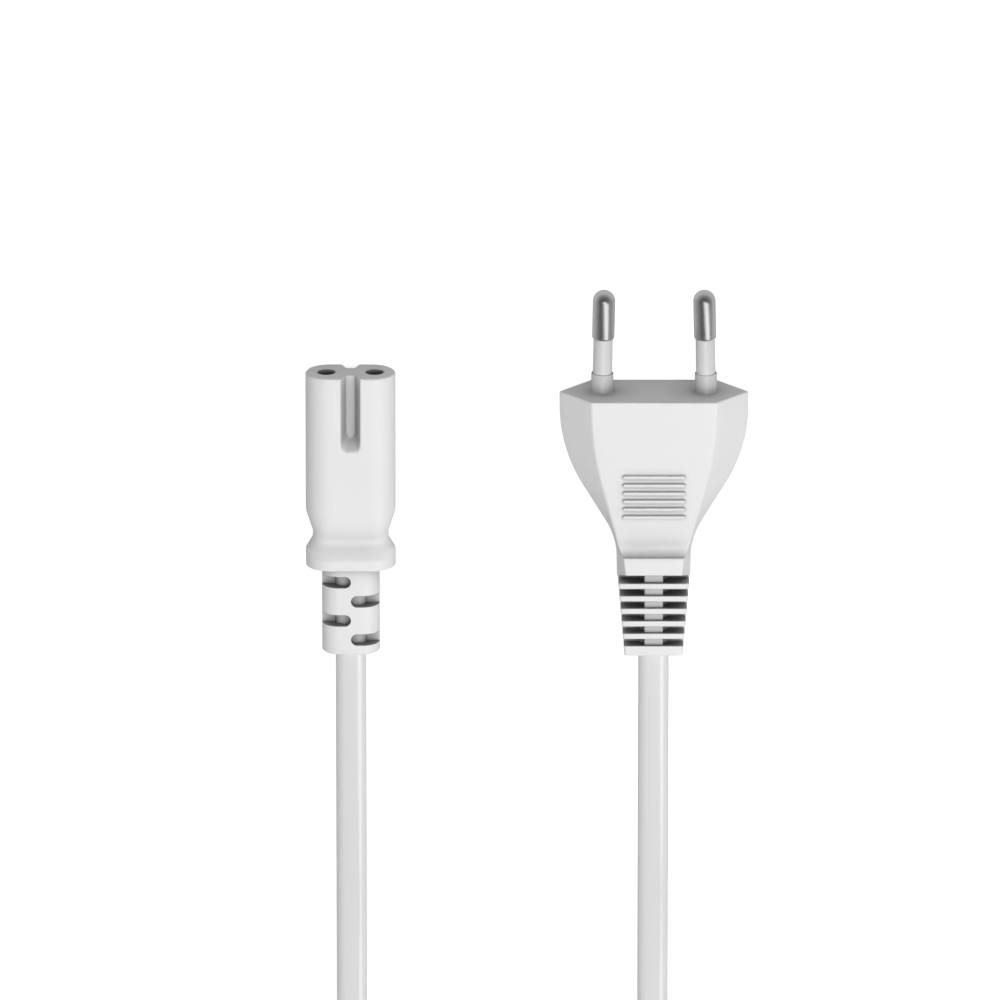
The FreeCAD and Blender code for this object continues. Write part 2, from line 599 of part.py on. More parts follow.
def make_cord():
    """The two free stretches, the coil of the rest and the tie round it."""
    low = CORD_THICKNESS / 2
    high = COIL_HEIGHT - CORD_WIDTH / 2
    plug_run, plug_lead = cord_run(PLUG_PLACE, COLLAR_END - SHEATH_IN_PLUG, CORD_DIP_PLUG, 1, low)
    conn_run, conn_lead = cord_run(CONN_PLACE, FLANGE_END - SHEATH_IN_CONN, CORD_DIP_CONN, -1, high)
    ring = Part.makeCylinder(COIL_OUTER, COIL_HEIGHT, COIL_CENTRE).cut(
        Part.makeCylinder(COIL_INNER, COIL_HEIGHT, COIL_CENTRE))

    # The tie pulls the turns together a little, so that it lies no lower than they do
    grip_near = COIL_CENTRE.y - COIL_INNER - TIE_SQUEEZE
    grip_far = COIL_CENTRE.y - COIL_OUTER + TIE_SQUEEZE
    hole = Part.makeBox(TIE_WIDTH, grip_near - grip_far, COIL_HEIGHT - 2 * TIE_THICKNESS,
                        V(COIL_CENTRE.x - TIE_WIDTH / 2, grip_far, TIE_THICKNESS))
    band = Part.makeBox(TIE_WIDTH, grip_near - grip_far + 2 * TIE_THICKNESS, COIL_HEIGHT,
                        V(COIL_CENTRE.x - TIE_WIDTH / 2, grip_far - TIE_THICKNESS, 0))
    lap = Part.makeBox(TIE_WIDTH, TIE_LAP, TIE_THICKNESS,
                       V(COIL_CENTRE.x - TIE_WIDTH / 2, grip_far, COIL_HEIGHT))
    far_edge = COIL_CENTRE.y - COIL_OUTER - TIE_THICKNESS
    clear = Part.makeBox(TIE_WIDTH, COIL_OUTER - COIL_INNER + 2 * TIE_THICKNESS, 2 * COIL_HEIGHT,
                         V(COIL_CENTRE.x - TIE_WIDTH / 2, far_edge, -COIL_HEIGHT / 2))
    coil = ring.cut(clear.cut(hole)).fuse([plug_lead, conn_lead])
    tie = band.cut(hole).fuse(lap).removeSplitter()
    return {"cord_plug_run": plug_run, "cord_connector_run": conn_run, "cord_coil": coil, "coil_tie": tie}


def main():
    nodes = {name: shape.translated(PLUG_PLACE) for name, shape in make_plug().items()}
    nodes.update({name: shape.translated(CONN_PLACE) for name, shape in make_connector().items()})
    nodes.update(make_cord())
    os.makedirs("parts", exist_ok=True)
    for name, shape in nodes.items():
        solids = shape.Solids
        print("%-24s solids %d  volume %9.2f  valid %s" % (name, len(solids), shape.Volume, shape.isValid()))
        whole = solids[0] if len(solids) == 1 else Part.makeCompound(solids)
        whole.exportStep("parts/" + name + ".step")


main()
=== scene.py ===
# %% [markdown]
# # A europlug mains lead
#
# The object is a white mains lead: a flat two-core cord with a moulded europlug on one end and a
# figure-8 connector on the other. The CAD frame is loaded first and stays where it is. This lesson
# then dresses it: finer skins for the mouldings, pins and cord, materials made of nodes, and soft
# light from above. Lengths are worked out in millimetres, as on a drawing, and turned into metres
# where a mesh is made.

# %% Load the CAD frame
import json
import math

import bmesh
import bpy
import numpy as np
from mathutils import Euler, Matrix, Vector


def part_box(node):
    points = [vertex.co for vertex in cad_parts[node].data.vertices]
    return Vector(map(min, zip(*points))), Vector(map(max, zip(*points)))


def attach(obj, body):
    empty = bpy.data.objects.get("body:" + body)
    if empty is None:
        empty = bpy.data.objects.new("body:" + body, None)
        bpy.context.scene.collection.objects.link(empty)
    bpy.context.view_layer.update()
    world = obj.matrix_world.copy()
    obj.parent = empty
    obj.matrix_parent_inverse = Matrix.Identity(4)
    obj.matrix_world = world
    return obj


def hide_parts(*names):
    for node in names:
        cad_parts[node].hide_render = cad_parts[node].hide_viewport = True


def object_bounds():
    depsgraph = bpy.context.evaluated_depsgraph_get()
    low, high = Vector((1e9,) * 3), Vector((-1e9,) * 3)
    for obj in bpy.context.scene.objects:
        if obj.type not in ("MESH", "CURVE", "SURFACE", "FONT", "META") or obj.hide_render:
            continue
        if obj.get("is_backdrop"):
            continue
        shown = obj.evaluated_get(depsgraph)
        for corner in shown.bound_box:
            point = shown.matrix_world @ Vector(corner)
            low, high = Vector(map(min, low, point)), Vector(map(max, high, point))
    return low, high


MM = 0.001
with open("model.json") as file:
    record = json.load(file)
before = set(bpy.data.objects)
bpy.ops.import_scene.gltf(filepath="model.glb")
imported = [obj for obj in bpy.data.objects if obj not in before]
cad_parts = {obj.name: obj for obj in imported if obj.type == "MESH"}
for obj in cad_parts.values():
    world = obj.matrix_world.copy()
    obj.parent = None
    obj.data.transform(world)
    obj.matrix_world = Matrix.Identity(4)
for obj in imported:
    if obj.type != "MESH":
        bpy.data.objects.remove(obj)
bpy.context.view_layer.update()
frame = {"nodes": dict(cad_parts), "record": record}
cad_nodes = frame["nodes"]

# %% [markdown]
# ## Camera
#
# The photograph looks down on the lead, tilted a little so that the plug's mating face shows, and
# with hardly any perspective. A very long lens from far away gives the same flat look. The camera's
# tilt is found from how much a standard pin is shortened in the picture, and its width of view from
# the 18.6 mm between the pins.

# %% Camera
VIEW_TILT_DEG = 19.3
VIEW_WIDTH = 178.8
VIEW_MIDDLE_X = -27.5
VIEW_MIDDLE_BACK = 20.59
LENS = 800.0
SENSOR = 36.0
PIN_LENGTH = 19.0
PIN_SPACING_FACE = 18.6
PIN_SPACING_TIP = 17.8

lean = math.atan2((PIN_SPACING_FACE - PIN_SPACING_TIP) / 2, PIN_LENGTH)
face_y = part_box("pin_left")[1].y / MM - PIN_LENGTH * math.cos(lean)
plug_axis_z = sum(v.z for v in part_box("pin_left")) / 2 / MM
tilt = Euler((math.radians(-VIEW_TILT_DEG), 0, 0))
aim = Vector((VIEW_MIDDLE_X, face_y - VIEW_MIDDLE_BACK, plug_axis_z))
eye_distance = VIEW_WIDTH * LENS / SENSOR

camera_data = bpy.data.cameras.new("camera")
camera_data.lens = LENS
camera_data.sensor_width = SENSOR
camera_data.clip_end = 20
camera = bpy.data.objects.new("camera", camera_data)
camera.rotation_euler = tilt
camera.location = (aim + tilt.to_matrix() @ Vector((0, 0, eye_distance))) * MM
bpy.context.scene.collection.objects.link(camera)
bpy.context.scene.camera = camera
print("camera %.2f m away; mating face at y %.2f mm, plug axis at z %.2f mm"
      % (eye_distance * MM, face_y, plug_axis_z))

# %% [markdown]
# ## From numbers to meshes
#
# Every skin in this lesson is a stack of rings: ring j is one slice through the piece, and point i
# sits at the same place on each slice, so that neighbours make quads. A rounded corner is a circular
# arc, written as a rational quadratic curve: its ends are the tangent points, its middle control
# point is the sharp corner, and the weight of that point is the sine of half the corner's angle.

# %% Rings and rounding


def round_corners(corners, radius, steps=6, fill=0, closed=True):
    """Rounded polygons. corners[j, i] is corner i of slice j and radius[j, i] its radius; each corner
    turns into an arc of steps + 1 points, with fill extra points on each straight side. An open line
    keeps its two ends."""
    corners = np.asarray(corners, float)
    radius = np.broadcast_to(np.asarray(radius, float), corners.shape[:2])
    before = np.roll(corners, 1, axis=1) - corners
    after = np.roll(corners, -1, axis=1) - corners
    before /= np.maximum(np.linalg.norm(before, axis=2, keepdims=True), 1e-12)
    after /= np.maximum(np.linalg.norm(after, axis=2, keepdims=True), 1e-12)
    half = np.arccos(np.clip((before * after).sum(2), -1, 1)) / 2
    half = np.clip(half, 1e-6, math.pi / 2 - 1e-9)
    reach = (radius / np.tan(half))[..., None]
    start = (corners + before * reach)[:, :, None]
    end = (corners + after * reach)[:, :, None]
    t = np.linspace(0, 1, steps + 1)[None, None, :, None]
    weight = np.sin(half)[..., None, None]
    arc = (1 - t) ** 2 * start + 2 * weight * t * (1 - t) * corners[:, :, None] + t ** 2 * end
    arc = arc / ((1 - t) ** 2 + 2 * weight * t * (1 - t) + t ** 2)
    if not closed:
        arc[:, 0] = corners[:, :1]
        arc[:, -1] = corners[:, -1:]
    if fill:
        share = np.linspace(0, 1, fill + 2)[1:-1][None, None, :, None]
        side = end * (1 - share) + np.roll(start, -1, axis=1) * share
        if not closed:
            side[:, 0] = corners[:, :1] * (1 - share[0]) + start[:, 1] * share[0]
            side[:, -2] = end[:, -2] * (1 - share[0]) + corners[:, -1:] * share[0]
            side[:, -1] = corners[:, -1:]
        arc = np.concatenate([arc, side], axis=2)
    return arc.reshape(len(corners), -1, corners.shape[2])


def skin(rings):
    """Closed shell over a stack of rings: quads between neighbours, and a flat face on the first and
    last ring."""
    rings = np.asarray(rings, float)
    count, around = rings.shape[:2]
    index = np.arange(count * around).reshape(count, around)
    beside = np.roll(index, -1, axis=1)
    quads = np.stack([index[:-1], beside[:-1], beside[1:], index[1:]], axis=-1).reshape(-1, 4)
    return rings.reshape(-1, 3), quads.tolist() + [index[0, ::-1].tolist(), index[-1].tolist()]


def turned(profile, foot, axis, around=64):
    """Turned shell: each (radius, distance) of the profile becomes a circle round the axis line
    through foot."""
    profile = np.asarray(profile, float)
    axis = np.asarray(axis, float) / np.linalg.norm(axis)
    side = np.cross(axis, (0, 0, 1.0))
    side = side / np.linalg.norm(side)
    up = np.cross(axis, side)
    angle = np.linspace(0, 2 * math.pi, around, endpoint=False)[None, :, None]
    circle = np.cos(angle) * side + np.sin(angle) * up
    along_axis = profile[:, 1, None, None] * axis
    return skin(np.asarray(foot, float) + along_axis + profile[:, 0, None, None] * circle)


trial = round_corners([[(1, 1), (-1, 1), (-1, -1), (1, -1)]], 0.5)[0]
print("a 2 mm square with 0.5 mm corners: %d points, %.3f mm around"
      % (len(trial), np.linalg.norm(trial - np.roll(trial, 1, axis=0), axis=1).sum()))

# %% [markdown]
# ## From meshes to pieces
#
# A moulding is one lump of plastic, but it is easiest to describe as a few closed shells that run
# into each other. One helper turns shells into an object, with its faces outwards and its shading
# smooth except over sharp edges. Another carves holes with Blender's exact Boolean, and a third puts
# the finished piece on the frame.

# %% Pieces
SMOOTH_DEG = 32
MERGE_DISTANCE = 1e-7


def piece(name, shells, smooth_deg=SMOOTH_DEG):
    """One mesh object from closed shells given in millimetres: merged at its poles, faces outwards,
    softly shaded."""
    points, faces, count = [], [], 0
    for shell_points, shell_faces in shells:
        points.append(shell_points)
        faces += [[i + count for i in face] for face in shell_faces]
        count += len(shell_points)
    mesh = bpy.data.meshes.new(name)
    mesh.from_pydata((np.concatenate(points) * MM).tolist(), [], faces)
    shape = bmesh.new()
    shape.from_mesh(mesh)
    bmesh.ops.remove_doubles(shape, verts=shape.verts, dist=MERGE_DISTANCE)
    bmesh.ops.dissolve_degenerate(shape, edges=shape.edges, dist=MERGE_DISTANCE / 10)
    bmesh.ops.recalc_face_normals(shape, faces=shape.faces)
    shape.to_mesh(mesh)
    shape.free()
    mesh.shade_smooth()
    mesh.set_sharp_from_angle(angle=math.radians(smooth_deg))
    made = bpy.data.objects.new(name, mesh)
    bpy.context.scene.collection.objects.link(made)
    return made


def carve(target, cutters):
    """Takes closed cutter shells out of a piece for good, with Blender's exact Boolean."""
    tool = piece(target.name + "_cutter", cutters)
    cut = target.modifiers.new("cut", "BOOLEAN")
    cut.operation = "DIFFERENCE"
    cut.solver = "EXACT"
    cut.object = tool
    bpy.context.view_layer.update()
    whole = target.evaluated_get(bpy.context.evaluated_depsgraph_get())
    mesh = bpy.data.meshes.new_from_object(whole)
    target.modifiers.clear()
    target.data = mesh
    mesh.shade_smooth()
    mesh.set_sharp_from_angle(angle=math.radians(SMOOTH_DEG))
    bpy.data.objects.remove(tool)


def dress(made, slot, *replaced):
    """The piece rides on the one rigid body and stands for these CAD nodes; slot is not used."""
    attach(made, "root")
    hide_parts(*replaced)
    print("%-18s %6d faces, for %s" % (made.name, len(made.data.polygons), ", ".join(replaced)))


print("shading turns sharp over %d degrees" % SMOOTH_DEG)

# %% [markdown]
# ## Cord route
#
# The flat cord leaves the plug, sinks to the table, runs straight and is then wound up on its edge,
# as flat cord winds best, in two layers: inwards below, outwards above. From there it runs back to
# the connector. The points of the route are the same as in the CAD solid: a few on each straight
# stretch, and sixteen for each turn of the coil. The coil shrinks by one thickness of cord a turn, so
# that neighbouring turns touch.

# %% Cord route
CORD_WIDTH = 5.5
CORD_THICKNESS = 3.3
CORD_TURN_Y = -115.2
CORD_STRAIGHT_Y = -92.0
CORD_DIP_PLUG_Y = -62.0
CORD_DIP_CONN_Y = -66.0
COIL_RADIUS = 35.5
COIL_LEAD_DEG = 10.0
COIL_STEP = CORD_THICKNESS
COIL_TURNS = 6
POINTS_PER_TURN = 16
CLIMB_START = 0.46
CLIMB_SHARE = 0.08


def ease(share):
    """From 0 to 1 with level ends: three times the share's square less twice its cube."""
    share = np.clip(share, 0, 1)
    return share * share * (3 - 2 * share)


plug_cord_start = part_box("cord_plug_run")[1].y / MM
conn_cord_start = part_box("cord_connector_run")[1].y / MM
conn_x = sum(v.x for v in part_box("connector_body")) / 2 / MM
conn_z = sum(v.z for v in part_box("connector_body")) / 2 / MM
coil_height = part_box("cord_coil")[1].z / MM
coil_x = conn_x / 2
lead = math.radians(COIL_LEAD_DEG)
lead_run = (COIL_RADIUS * math.cos(lead) - abs(coil_x)) / math.sin(lead)
coil_y = CORD_TURN_Y - lead_run * math.cos(lead) - COIL_RADIUS * math.sin(lead)
flat_level = CORD_THICKNESS / 2
low_level = CORD_WIDTH / 2
high_level = coil_height - CORD_WIDTH / 2

# Angles run clockwise seen from above, from the plug's side of the coil to the connector's side
total_angle = 2 * math.pi * COIL_TURNS + math.pi + 2 * lead
count = int(round(total_angle / (2 * math.pi) * POINTS_PER_TURN))
swept = np.linspace(0, 1, count + 1)
angle = lead - swept * total_angle
inward = np.minimum(swept, 1 - swept) * total_angle / (2 * math.pi)
# A quadratic NURBS cuts inside its control points; this factor puts the curve on the radius
tighten = 1 / (0.75 + 0.25 * math.cos(total_angle / count))
radius = (COIL_RADIUS - COIL_STEP * inward) * tighten
level = low_level + (high_level - low_level) * ease((swept - CLIMB_START) / CLIMB_SHARE)
coil = np.stack([coil_x + radius * np.cos(angle), coil_y + radius * np.sin(angle), level], axis=1)
plug_side = [(0, plug_cord_start, plug_axis_z), (0, CORD_DIP_PLUG_Y, plug_axis_z),
             (0, CORD_STRAIGHT_Y, flat_level), (0, CORD_TURN_Y, flat_level)]
conn_side = [(conn_x, CORD_TURN_Y, flat_level), (conn_x, CORD_STRAIGHT_Y, flat_level),
             (conn_x, CORD_DIP_CONN_Y, conn_z), (conn_x, conn_cord_start, conn_z)]
route = np.concatenate([plug_side, coil, conn_side])
print("route: %d points, %d of them in the coil" % (len(route), len(coil)))

# %% [markdown]
# ## Cord line
#
# A cord has no kinks, so its line is a NURBS curve with the route's points as control points. Blender
# evaluates it, and the skin follows the points that come back.

# %% Cord line
line = bpy.data.curves.new("cord_line", "CURVE")
line.dimensions = "3D"
line.resolution_u = 8
spline = line.splines.new("NURBS")
spline.points.add(len(route) - 1)
weighted = np.concatenate([route * MM, np.ones((len(route), 1))], axis=1)
spline.points.foreach_set("co", weighted.ravel())
spline.order_u = 3
spline.use_endpoint_u = True
line_object = bpy.data.objects.new("cord_line", line)
bpy.context.scene.collection.objects.link(line_object)
bpy.context.view_layer.update()
line_mesh = bpy.data.meshes.new_from_object(line_object)
path = np.empty(len(line_mesh.vertices) * 3)
line_mesh.vertices.foreach_get("co", path)
path = path.reshape(-1, 3) / MM
bpy.data.objects.remove(line_object)
along = np.concatenate([[0], np.cumsum(np.linalg.norm(np.diff(path, axis=0), axis=1))])
print("cord: %d points on its line, %.0f mm long" % (len(path), along[-1]))

# %% [markdown]
# ## Cord skin
#
# The section is a stadium: two flat sides and two half-round edges. A bevelled curve would twist
# where it likes, so the section is carried along the line by hand, with its width level where the
# cord lies flat, and upright in the coil. Between the two it twists by a quarter turn, spread over
# the few centimetres beside the coil where the line climbs, and the line is lifted just enough there
# that the cord never dips through the table.

# %% Cord skin
TWIST_LENGTH = 42.0
EDGE_POINTS = 12
CORD_SMOOTH_DEG = 60


def stadium(length, width, points):
    """Flat oval: two straight sides and a half circle at each end, with this many points on each."""
    turn = np.linspace(-math.pi / 2, math.pi / 2, points)
    end = np.stack([np.cos(turn), np.sin(turn)], axis=1) * width / 2 + ((length - width) / 2, 0)
    return np.concatenate([end, -end])


tangent = np.gradient(path, axis=0)
tangent /= np.linalg.norm(tangent, axis=1, keepdims=True)
level_side = np.cross(tangent, (0, 0, 1.0))
level_side /= np.linalg.norm(level_side, axis=1, keepdims=True)
upright = np.cross(level_side, tangent)
middle = len(path) // 2
first_coil = np.argmin(np.linalg.norm(path[:middle] - coil[0], axis=1))
last_coil = middle + np.argmin(np.linalg.norm(path[middle:] - coil[-1], axis=1))
past_coil_end = np.minimum(along - along[first_coil], along[last_coil] - along)
twist = math.pi / 2 * ease(past_coil_end / TWIST_LENGTH + 1.0)
section = stadium(CORD_WIDTH, CORD_THICKNESS, EDGE_POINTS)
wide = np.cos(twist)[:, None] * level_side + np.sin(twist)[:, None] * upright
thin = -np.sin(twist)[:, None] * level_side + np.cos(twist)[:, None] * upright
lowest = np.abs(section[:, :1] * wide[:, 2] + section[:, 1:] * thin[:, 2]).max(axis=0)
path[:, 2] = np.maximum(path[:, 2], lowest)
rings = path[:, None] + section[None, :, :1] * wide[:, None] + section[None, :, 1:] * thin[:, None]
cord = piece("cord", [skin(rings)], CORD_SMOOTH_DEG)
print("cord lies from z %.2f to %.2f mm" % (rings[..., 2].min(), rings[..., 2].max()))

# %% [markdown]
# ## Plug housing
#
# The europlug's grip is a flattened hexagon: two broad faces and four slanted side facets, which
# narrow in a round shoulder and a straight slope to a hollow neck. One could subdivide a cube, but a
# drawing gives the outline exactly: half-width at mid-height, half-width of the broad face and
# half-thickness, each as a formula of the distance behind the mating face.

# %% Housing outline
PLUG_WIDTH = 34.0
PLUG_FLAT_WIDTH = 22.3
PLUG_THICKNESS = 13.0
SIDE_STRAIGHT = 2.7
SHOULDER_RADIUS = 28.5
SIDE_SLOPE = math.radians(31.5)
NECK_RADIUS = 14.0
NECK_WIDTH = 13.2
NECK_THICKNESS = 5.5
NECK_FACET_RUN = 0.8
FLAT_STRAIGHT = 1.0
FLAT_RADIUS = 58.0
FACE_STRAIGHT = 6.0
COLLAR_LENGTH = 3.4
RELIEF_LENGTH = 15.7

shoulder_end = SIDE_STRAIGHT + SHOULDER_RADIUS * math.sin(SIDE_SLOPE)
shoulder_drop = SHOULDER_RADIUS * (1 - math.cos(SIDE_SLOPE))
neck_drop = NECK_RADIUS * (1 - math.cos(SIDE_SLOPE))
slope_drop = (PLUG_WIDTH - NECK_WIDTH) / 2 - shoulder_drop - neck_drop
neck_start = shoulder_end + slope_drop / math.tan(SIDE_SLOPE)
neck_end = neck_start + NECK_RADIUS * math.sin(SIDE_SLOPE)
relief_end = face_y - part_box("plug_body")[0].y / MM
collar_end = relief_end - RELIEF_LENGTH
collar_front = collar_end - COLLAR_LENGTH
face_drop = (PLUG_THICKNESS - NECK_THICKNESS) / 2
face_radius = ((collar_front - FACE_STRAIGHT) ** 2 + face_drop ** 2) / (2 * face_drop)


def arc_drop(radius, run):
    """How far a circle falls away from its tangent after this run."""
    return radius - np.sqrt(np.maximum(radius ** 2 - run ** 2, 0))


def side_half_width(back):
    """Half-width at mid-height: straight, an arc down the shoulder, a straight slope, a hollow arc
    into the neck."""
    half = PLUG_WIDTH / 2
    slope = shoulder_drop + (back - shoulder_end) * math.tan(SIDE_SLOPE)
    hollow = arc_drop(NECK_RADIUS, neck_end - back)
    ends = [back <= SIDE_STRAIGHT, back <= shoulder_end, back <= neck_start, back <= neck_end]
    widths = [half + 0 * back, half - arc_drop(SHOULDER_RADIUS, back - SIDE_STRAIGHT), half - slope,
              NECK_WIDTH / 2 + hollow]
    return np.select(ends, widths, NECK_WIDTH / 2)


def flat_half_width(back):
    """Half-width of the broad face: straight, then an arc that is tangent to the line to the neck."""
    at_neck = float(side_half_width(np.array(collar_front))) - NECK_FACET_RUN
    rise = FLAT_RADIUS - PLUG_FLAT_WIDTH / 2 + at_neck
    run = collar_front - FLAT_STRAIGHT
    turn = math.pi / 2 - math.atan2(rise, run) - math.acos(FLAT_RADIUS / math.hypot(run, rise))
    reach = np.maximum(back - FLAT_STRAIGHT, 0)
    arc_run = FLAT_RADIUS * math.sin(turn)
    straight = FLAT_RADIUS * (1 - math.cos(turn)) + (reach - arc_run) * math.tan(turn)
    return PLUG_FLAT_WIDTH / 2 - np.where(reach <= arc_run, arc_drop(FLAT_RADIUS, reach), straight)


def half_thickness(back):
    """Half-thickness: level near the mating face, then one long arc down to the neck."""
    return PLUG_THICKNESS / 2 - arc_drop(face_radius, np.maximum(back - FACE_STRAIGHT, 0))


print("housing: shoulder to %.1f, neck %.1f to %.1f, collar %.1f to %.1f mm behind the face"
      % (shoulder_end, neck_start, neck_end, collar_front, collar_end))

# %% [markdown]
# ## The housing seen from the side
#
# The skin runs from the mating face, over its softly rounded rim, along the grip and up the collar.
# The collar's front rises out of the broad face in a hollow fillet, so here the slices follow a
# side-view line that even climbs straight up, and several slices share one distance.

# %% Housing side view
FACE_ROUND = 0.28
COLLAR_THICKNESS = 9.5
COLLAR_FILLET = 1.6
COLLAR_ROUND = 0.15
COLLAR_END_DROP = 1.2
GRIP_SLICES = 90
EDGE_SLICES = 7


def edge_round(radius, points):
    """Quarter circle over an edge: for each point, how far it has run along the one side, and how far
    it still is from the other, as the radius less its cosine and less its sine."""
    turn = np.linspace(0, math.pi / 2, points)
    return radius * (1 - np.cos(turn)), radius * (1 - np.sin(turn))


rim_back, rim_inset = edge_round(FACE_ROUND, EDGE_SLICES)
fillet_back = collar_front - COLLAR_FILLET
fillet_tilt = math.asin((fillet_back - FACE_STRAIGHT) / face_radius)
fillet_high = float(half_thickness(np.array(fillet_back))) + COLLAR_FILLET / math.cos(fillet_tilt)
fillet_foot = fillet_back - COLLAR_FILLET * math.sin(fillet_tilt)
grip_back = np.linspace(FACE_ROUND, fillet_foot, GRIP_SLICES)[1:-1]
bend = np.linspace(-fillet_tilt, math.pi / 2, 12)
up_back = fillet_back + COLLAR_FILLET * np.sin(bend)
up_high = fillet_high - COLLAR_FILLET * np.cos(bend)
top = COLLAR_THICKNESS / 2
over_run, over_drop = edge_round(COLLAR_ROUND, EDGE_SLICES)
over_back = np.concatenate([collar_front + over_run, collar_end - over_run[::-1]])
back = np.concatenate([rim_back, grip_back, up_back, over_back, [collar_end]])
high = np.concatenate([half_thickness(rim_back) - rim_inset, half_thickness(grip_back), up_high,
                       top - over_drop, top - over_drop[::-1], [top - COLLAR_END_DROP]])
level_count = len(grip_back) + len(up_back) + EDGE_SLICES
inset = np.concatenate([rim_inset, np.zeros(level_count), over_drop[::-1], [COLLAR_END_DROP]])
print("housing: %d slices, fillet from %.1f to %.1f mm behind the face"
      % (len(back), fillet_foot, collar_front))

# %% [markdown]
# ## The housing's slices
#
# Each slice is a hexagon with rounded edges. Towards the collar the broad face widens until only a
# narrow facet is left at each side, and the collar's back end leans, as a mould needs it to come
# free.

# %% Housing skin
EDGE_ROUND = 0.75
EDGE_SHARE = 0.45
TIP_ROUND = 0.4
WIDE_INSET = 1.15
FLAT_INSET = 0.55
COLLAR_EDGE = 0.25
COLLAR_FACET_RUN = 1.3
COLLAR_FACET_GROWTH = 0.3
COLLAR_RAKE = 0.33


def stand(outline, x, y, z):
    """Flat outlines stood up across y: a point's first number runs along x and its second up z."""
    flat_y = np.broadcast_to(y, outline.shape[:-1])
    return np.stack([x + outline[..., 0], flat_y, z + outline[..., 1]], axis=-1)


def hexagon_rings(back, wide, flat, high, edge, tip, rake):
    """Hexagon slices with their wide corners at mid-height; arrays give one value for each slice. A
    raked slice leans back by rake for each millimetre below its top."""
    zero = 0 * back
    sides = [(wide, zero), (flat, high), (-flat, high), (-wide, zero), (-flat, -high), (flat, -high)]
    corners = np.stack([np.stack(side, axis=1) for side in sides], axis=1)
    radius = np.stack([tip, edge, edge, tip, edge, edge], axis=1)
    outline = round_corners(corners, radius, steps=7, fill=5)
    lag = rake[:, None] * (high[:, None] - np.abs(outline[..., 1]))
    return stand(outline, 0, face_y - back[:, None] - lag, plug_axis_z)


wide = side_half_width(back) - WIDE_INSET * inset
flat = flat_half_width(np.minimum(back, collar_front)) - FLAT_INSET * inset
on_grip = half_thickness(np.minimum(back, collar_front))
climb = np.clip((high - on_grip) / (top - NECK_THICKNESS / 2), 0, 1)
collar_part = np.where(back > fillet_foot, climb, 0)
along_collar = np.clip((back - collar_front) / COLLAR_LENGTH, 0, 1)
facet_run = COLLAR_FACET_RUN + COLLAR_FACET_GROWTH * along_collar
flat = flat * (1 - collar_part) + (wide - facet_run) * collar_part
grip_edge = np.minimum(EDGE_ROUND, EDGE_SHARE * (wide - flat))
edge = grip_edge * (1 - collar_part) + COLLAR_EDGE * collar_part
tip = np.full(len(back), TIP_ROUND)
housing = hexagon_rings(back, wide, flat, high, edge, tip, COLLAR_RAKE * along_collar)
print("housing: %.1f mm wide, %.1f mm thick" % (np.ptp(housing[..., 0]), np.ptp(housing[..., 2])))

# %% [markdown]
# ## Ribs
#
# Six ribs on each broad face keep fingers from slipping. They are moulded in one shot with the grip,
# so they are further shells of the same piece. A rib is a low bar with round ends and a flat top,
# steep towards the pins, where a finger pulls, and gentle behind. Three stadium rings make it, and
# each ring follows the curve of the broad face.

# %% Ribs
RIB_COUNT = 6
RIB_FIRST_BACK = 14.25
RIB_PITCH = 1.59
RIB_LENGTH = 11.5
RIB_WIDTH = 1.1
RIB_TOP_WIDTH = 0.36
RIB_FRONT_RUN = 0.23
RIB_END_RUN = 0.3
RIB_HEIGHT = 0.4
RIB_ROOT = 0.25
RIB_END_POINTS = 13


def rib_ring(back, length, width, level, sign):
    """Stadium laid on the broad face, whose height it takes at each point and adds level to."""
    outline = stadium(length, width, RIB_END_POINTS)
    behind = back + outline[:, 1]
    z = plug_axis_z + sign * (half_thickness(behind) + level)
    return np.stack([outline[:, 0], face_y - behind, z], axis=1)


ribs = []
for i in range(RIB_COUNT):
    rib_back = RIB_FIRST_BACK + i * RIB_PITCH
    top_back = rib_back - (RIB_WIDTH - RIB_TOP_WIDTH) / 2 + RIB_FRONT_RUN
    top_length = RIB_LENGTH - 2 * RIB_END_RUN
    for sign in (1, -1):
        ribs.append(skin([rib_ring(rib_back, RIB_LENGTH, RIB_WIDTH, -RIB_ROOT, sign),
                          rib_ring(rib_back, RIB_LENGTH, RIB_WIDTH, 0.0, sign),
                          rib_ring(top_back, top_length, RIB_TOP_WIDTH, RIB_HEIGHT, sign)]))
print("%d ribs on each broad face, %.2f mm apart" % (RIB_COUNT, RIB_PITCH))

# %% [markdown]
# ## Strain relief of the plug
#
# Behind the collar the moulding is slotted, so that the cord can bend without a kink. The relief is a
# stack of slices again: it changes between the outline of a bar and that of the narrow spine, and
# each bar has softened edges. One stack is simpler than a block with twelve cuts, and has no seams.

# %% Bars and spine
RELIEF_WIDTH = 13.0
RELIEF_END_WIDTH = 10.5
RELIEF_THICKNESS = 8.6
RELIEF_END_THICKNESS = 6.8
SLOT_COUNT = 6
SLOT_FIRST_BACK = 0.32
SLOT_WIDTH = 1.38
SLOT_PITCH = 2.42
SPINE_WIDTH = 3.4
SPINE_RECESS = 0.75
SPINE_CORNER = 0.25
BAR_ROUND = 0.13
BAR_CORNER = 0.5
SUNK = 1.0

# Each station is a distance behind the collar, whether it is on a bar, and the bar's inset there
run_in, set_in = edge_round(BAR_ROUND, 5)
stations = [(-SUNK, 0, 0.0)]
for i in range(SLOT_COUNT):
    last = i == SLOT_COUNT - 1
    bar_start = SLOT_FIRST_BACK + i * SLOT_PITCH + SLOT_WIDTH
    bar_end = RELIEF_LENGTH if last else SLOT_FIRST_BACK + (i + 1) * SLOT_PITCH
    stations.append((bar_start, 0, 0.0))
    stations += [(bar_start + run, 1, down) for run, down in zip(run_in, set_in)]
    stations += [(bar_end - run, 1, down) for run, down in zip(run_in[::-1], set_in[::-1])]
    if not last:
        stations.append((bar_end, 0, 0.0))
stations = np.array(stations)


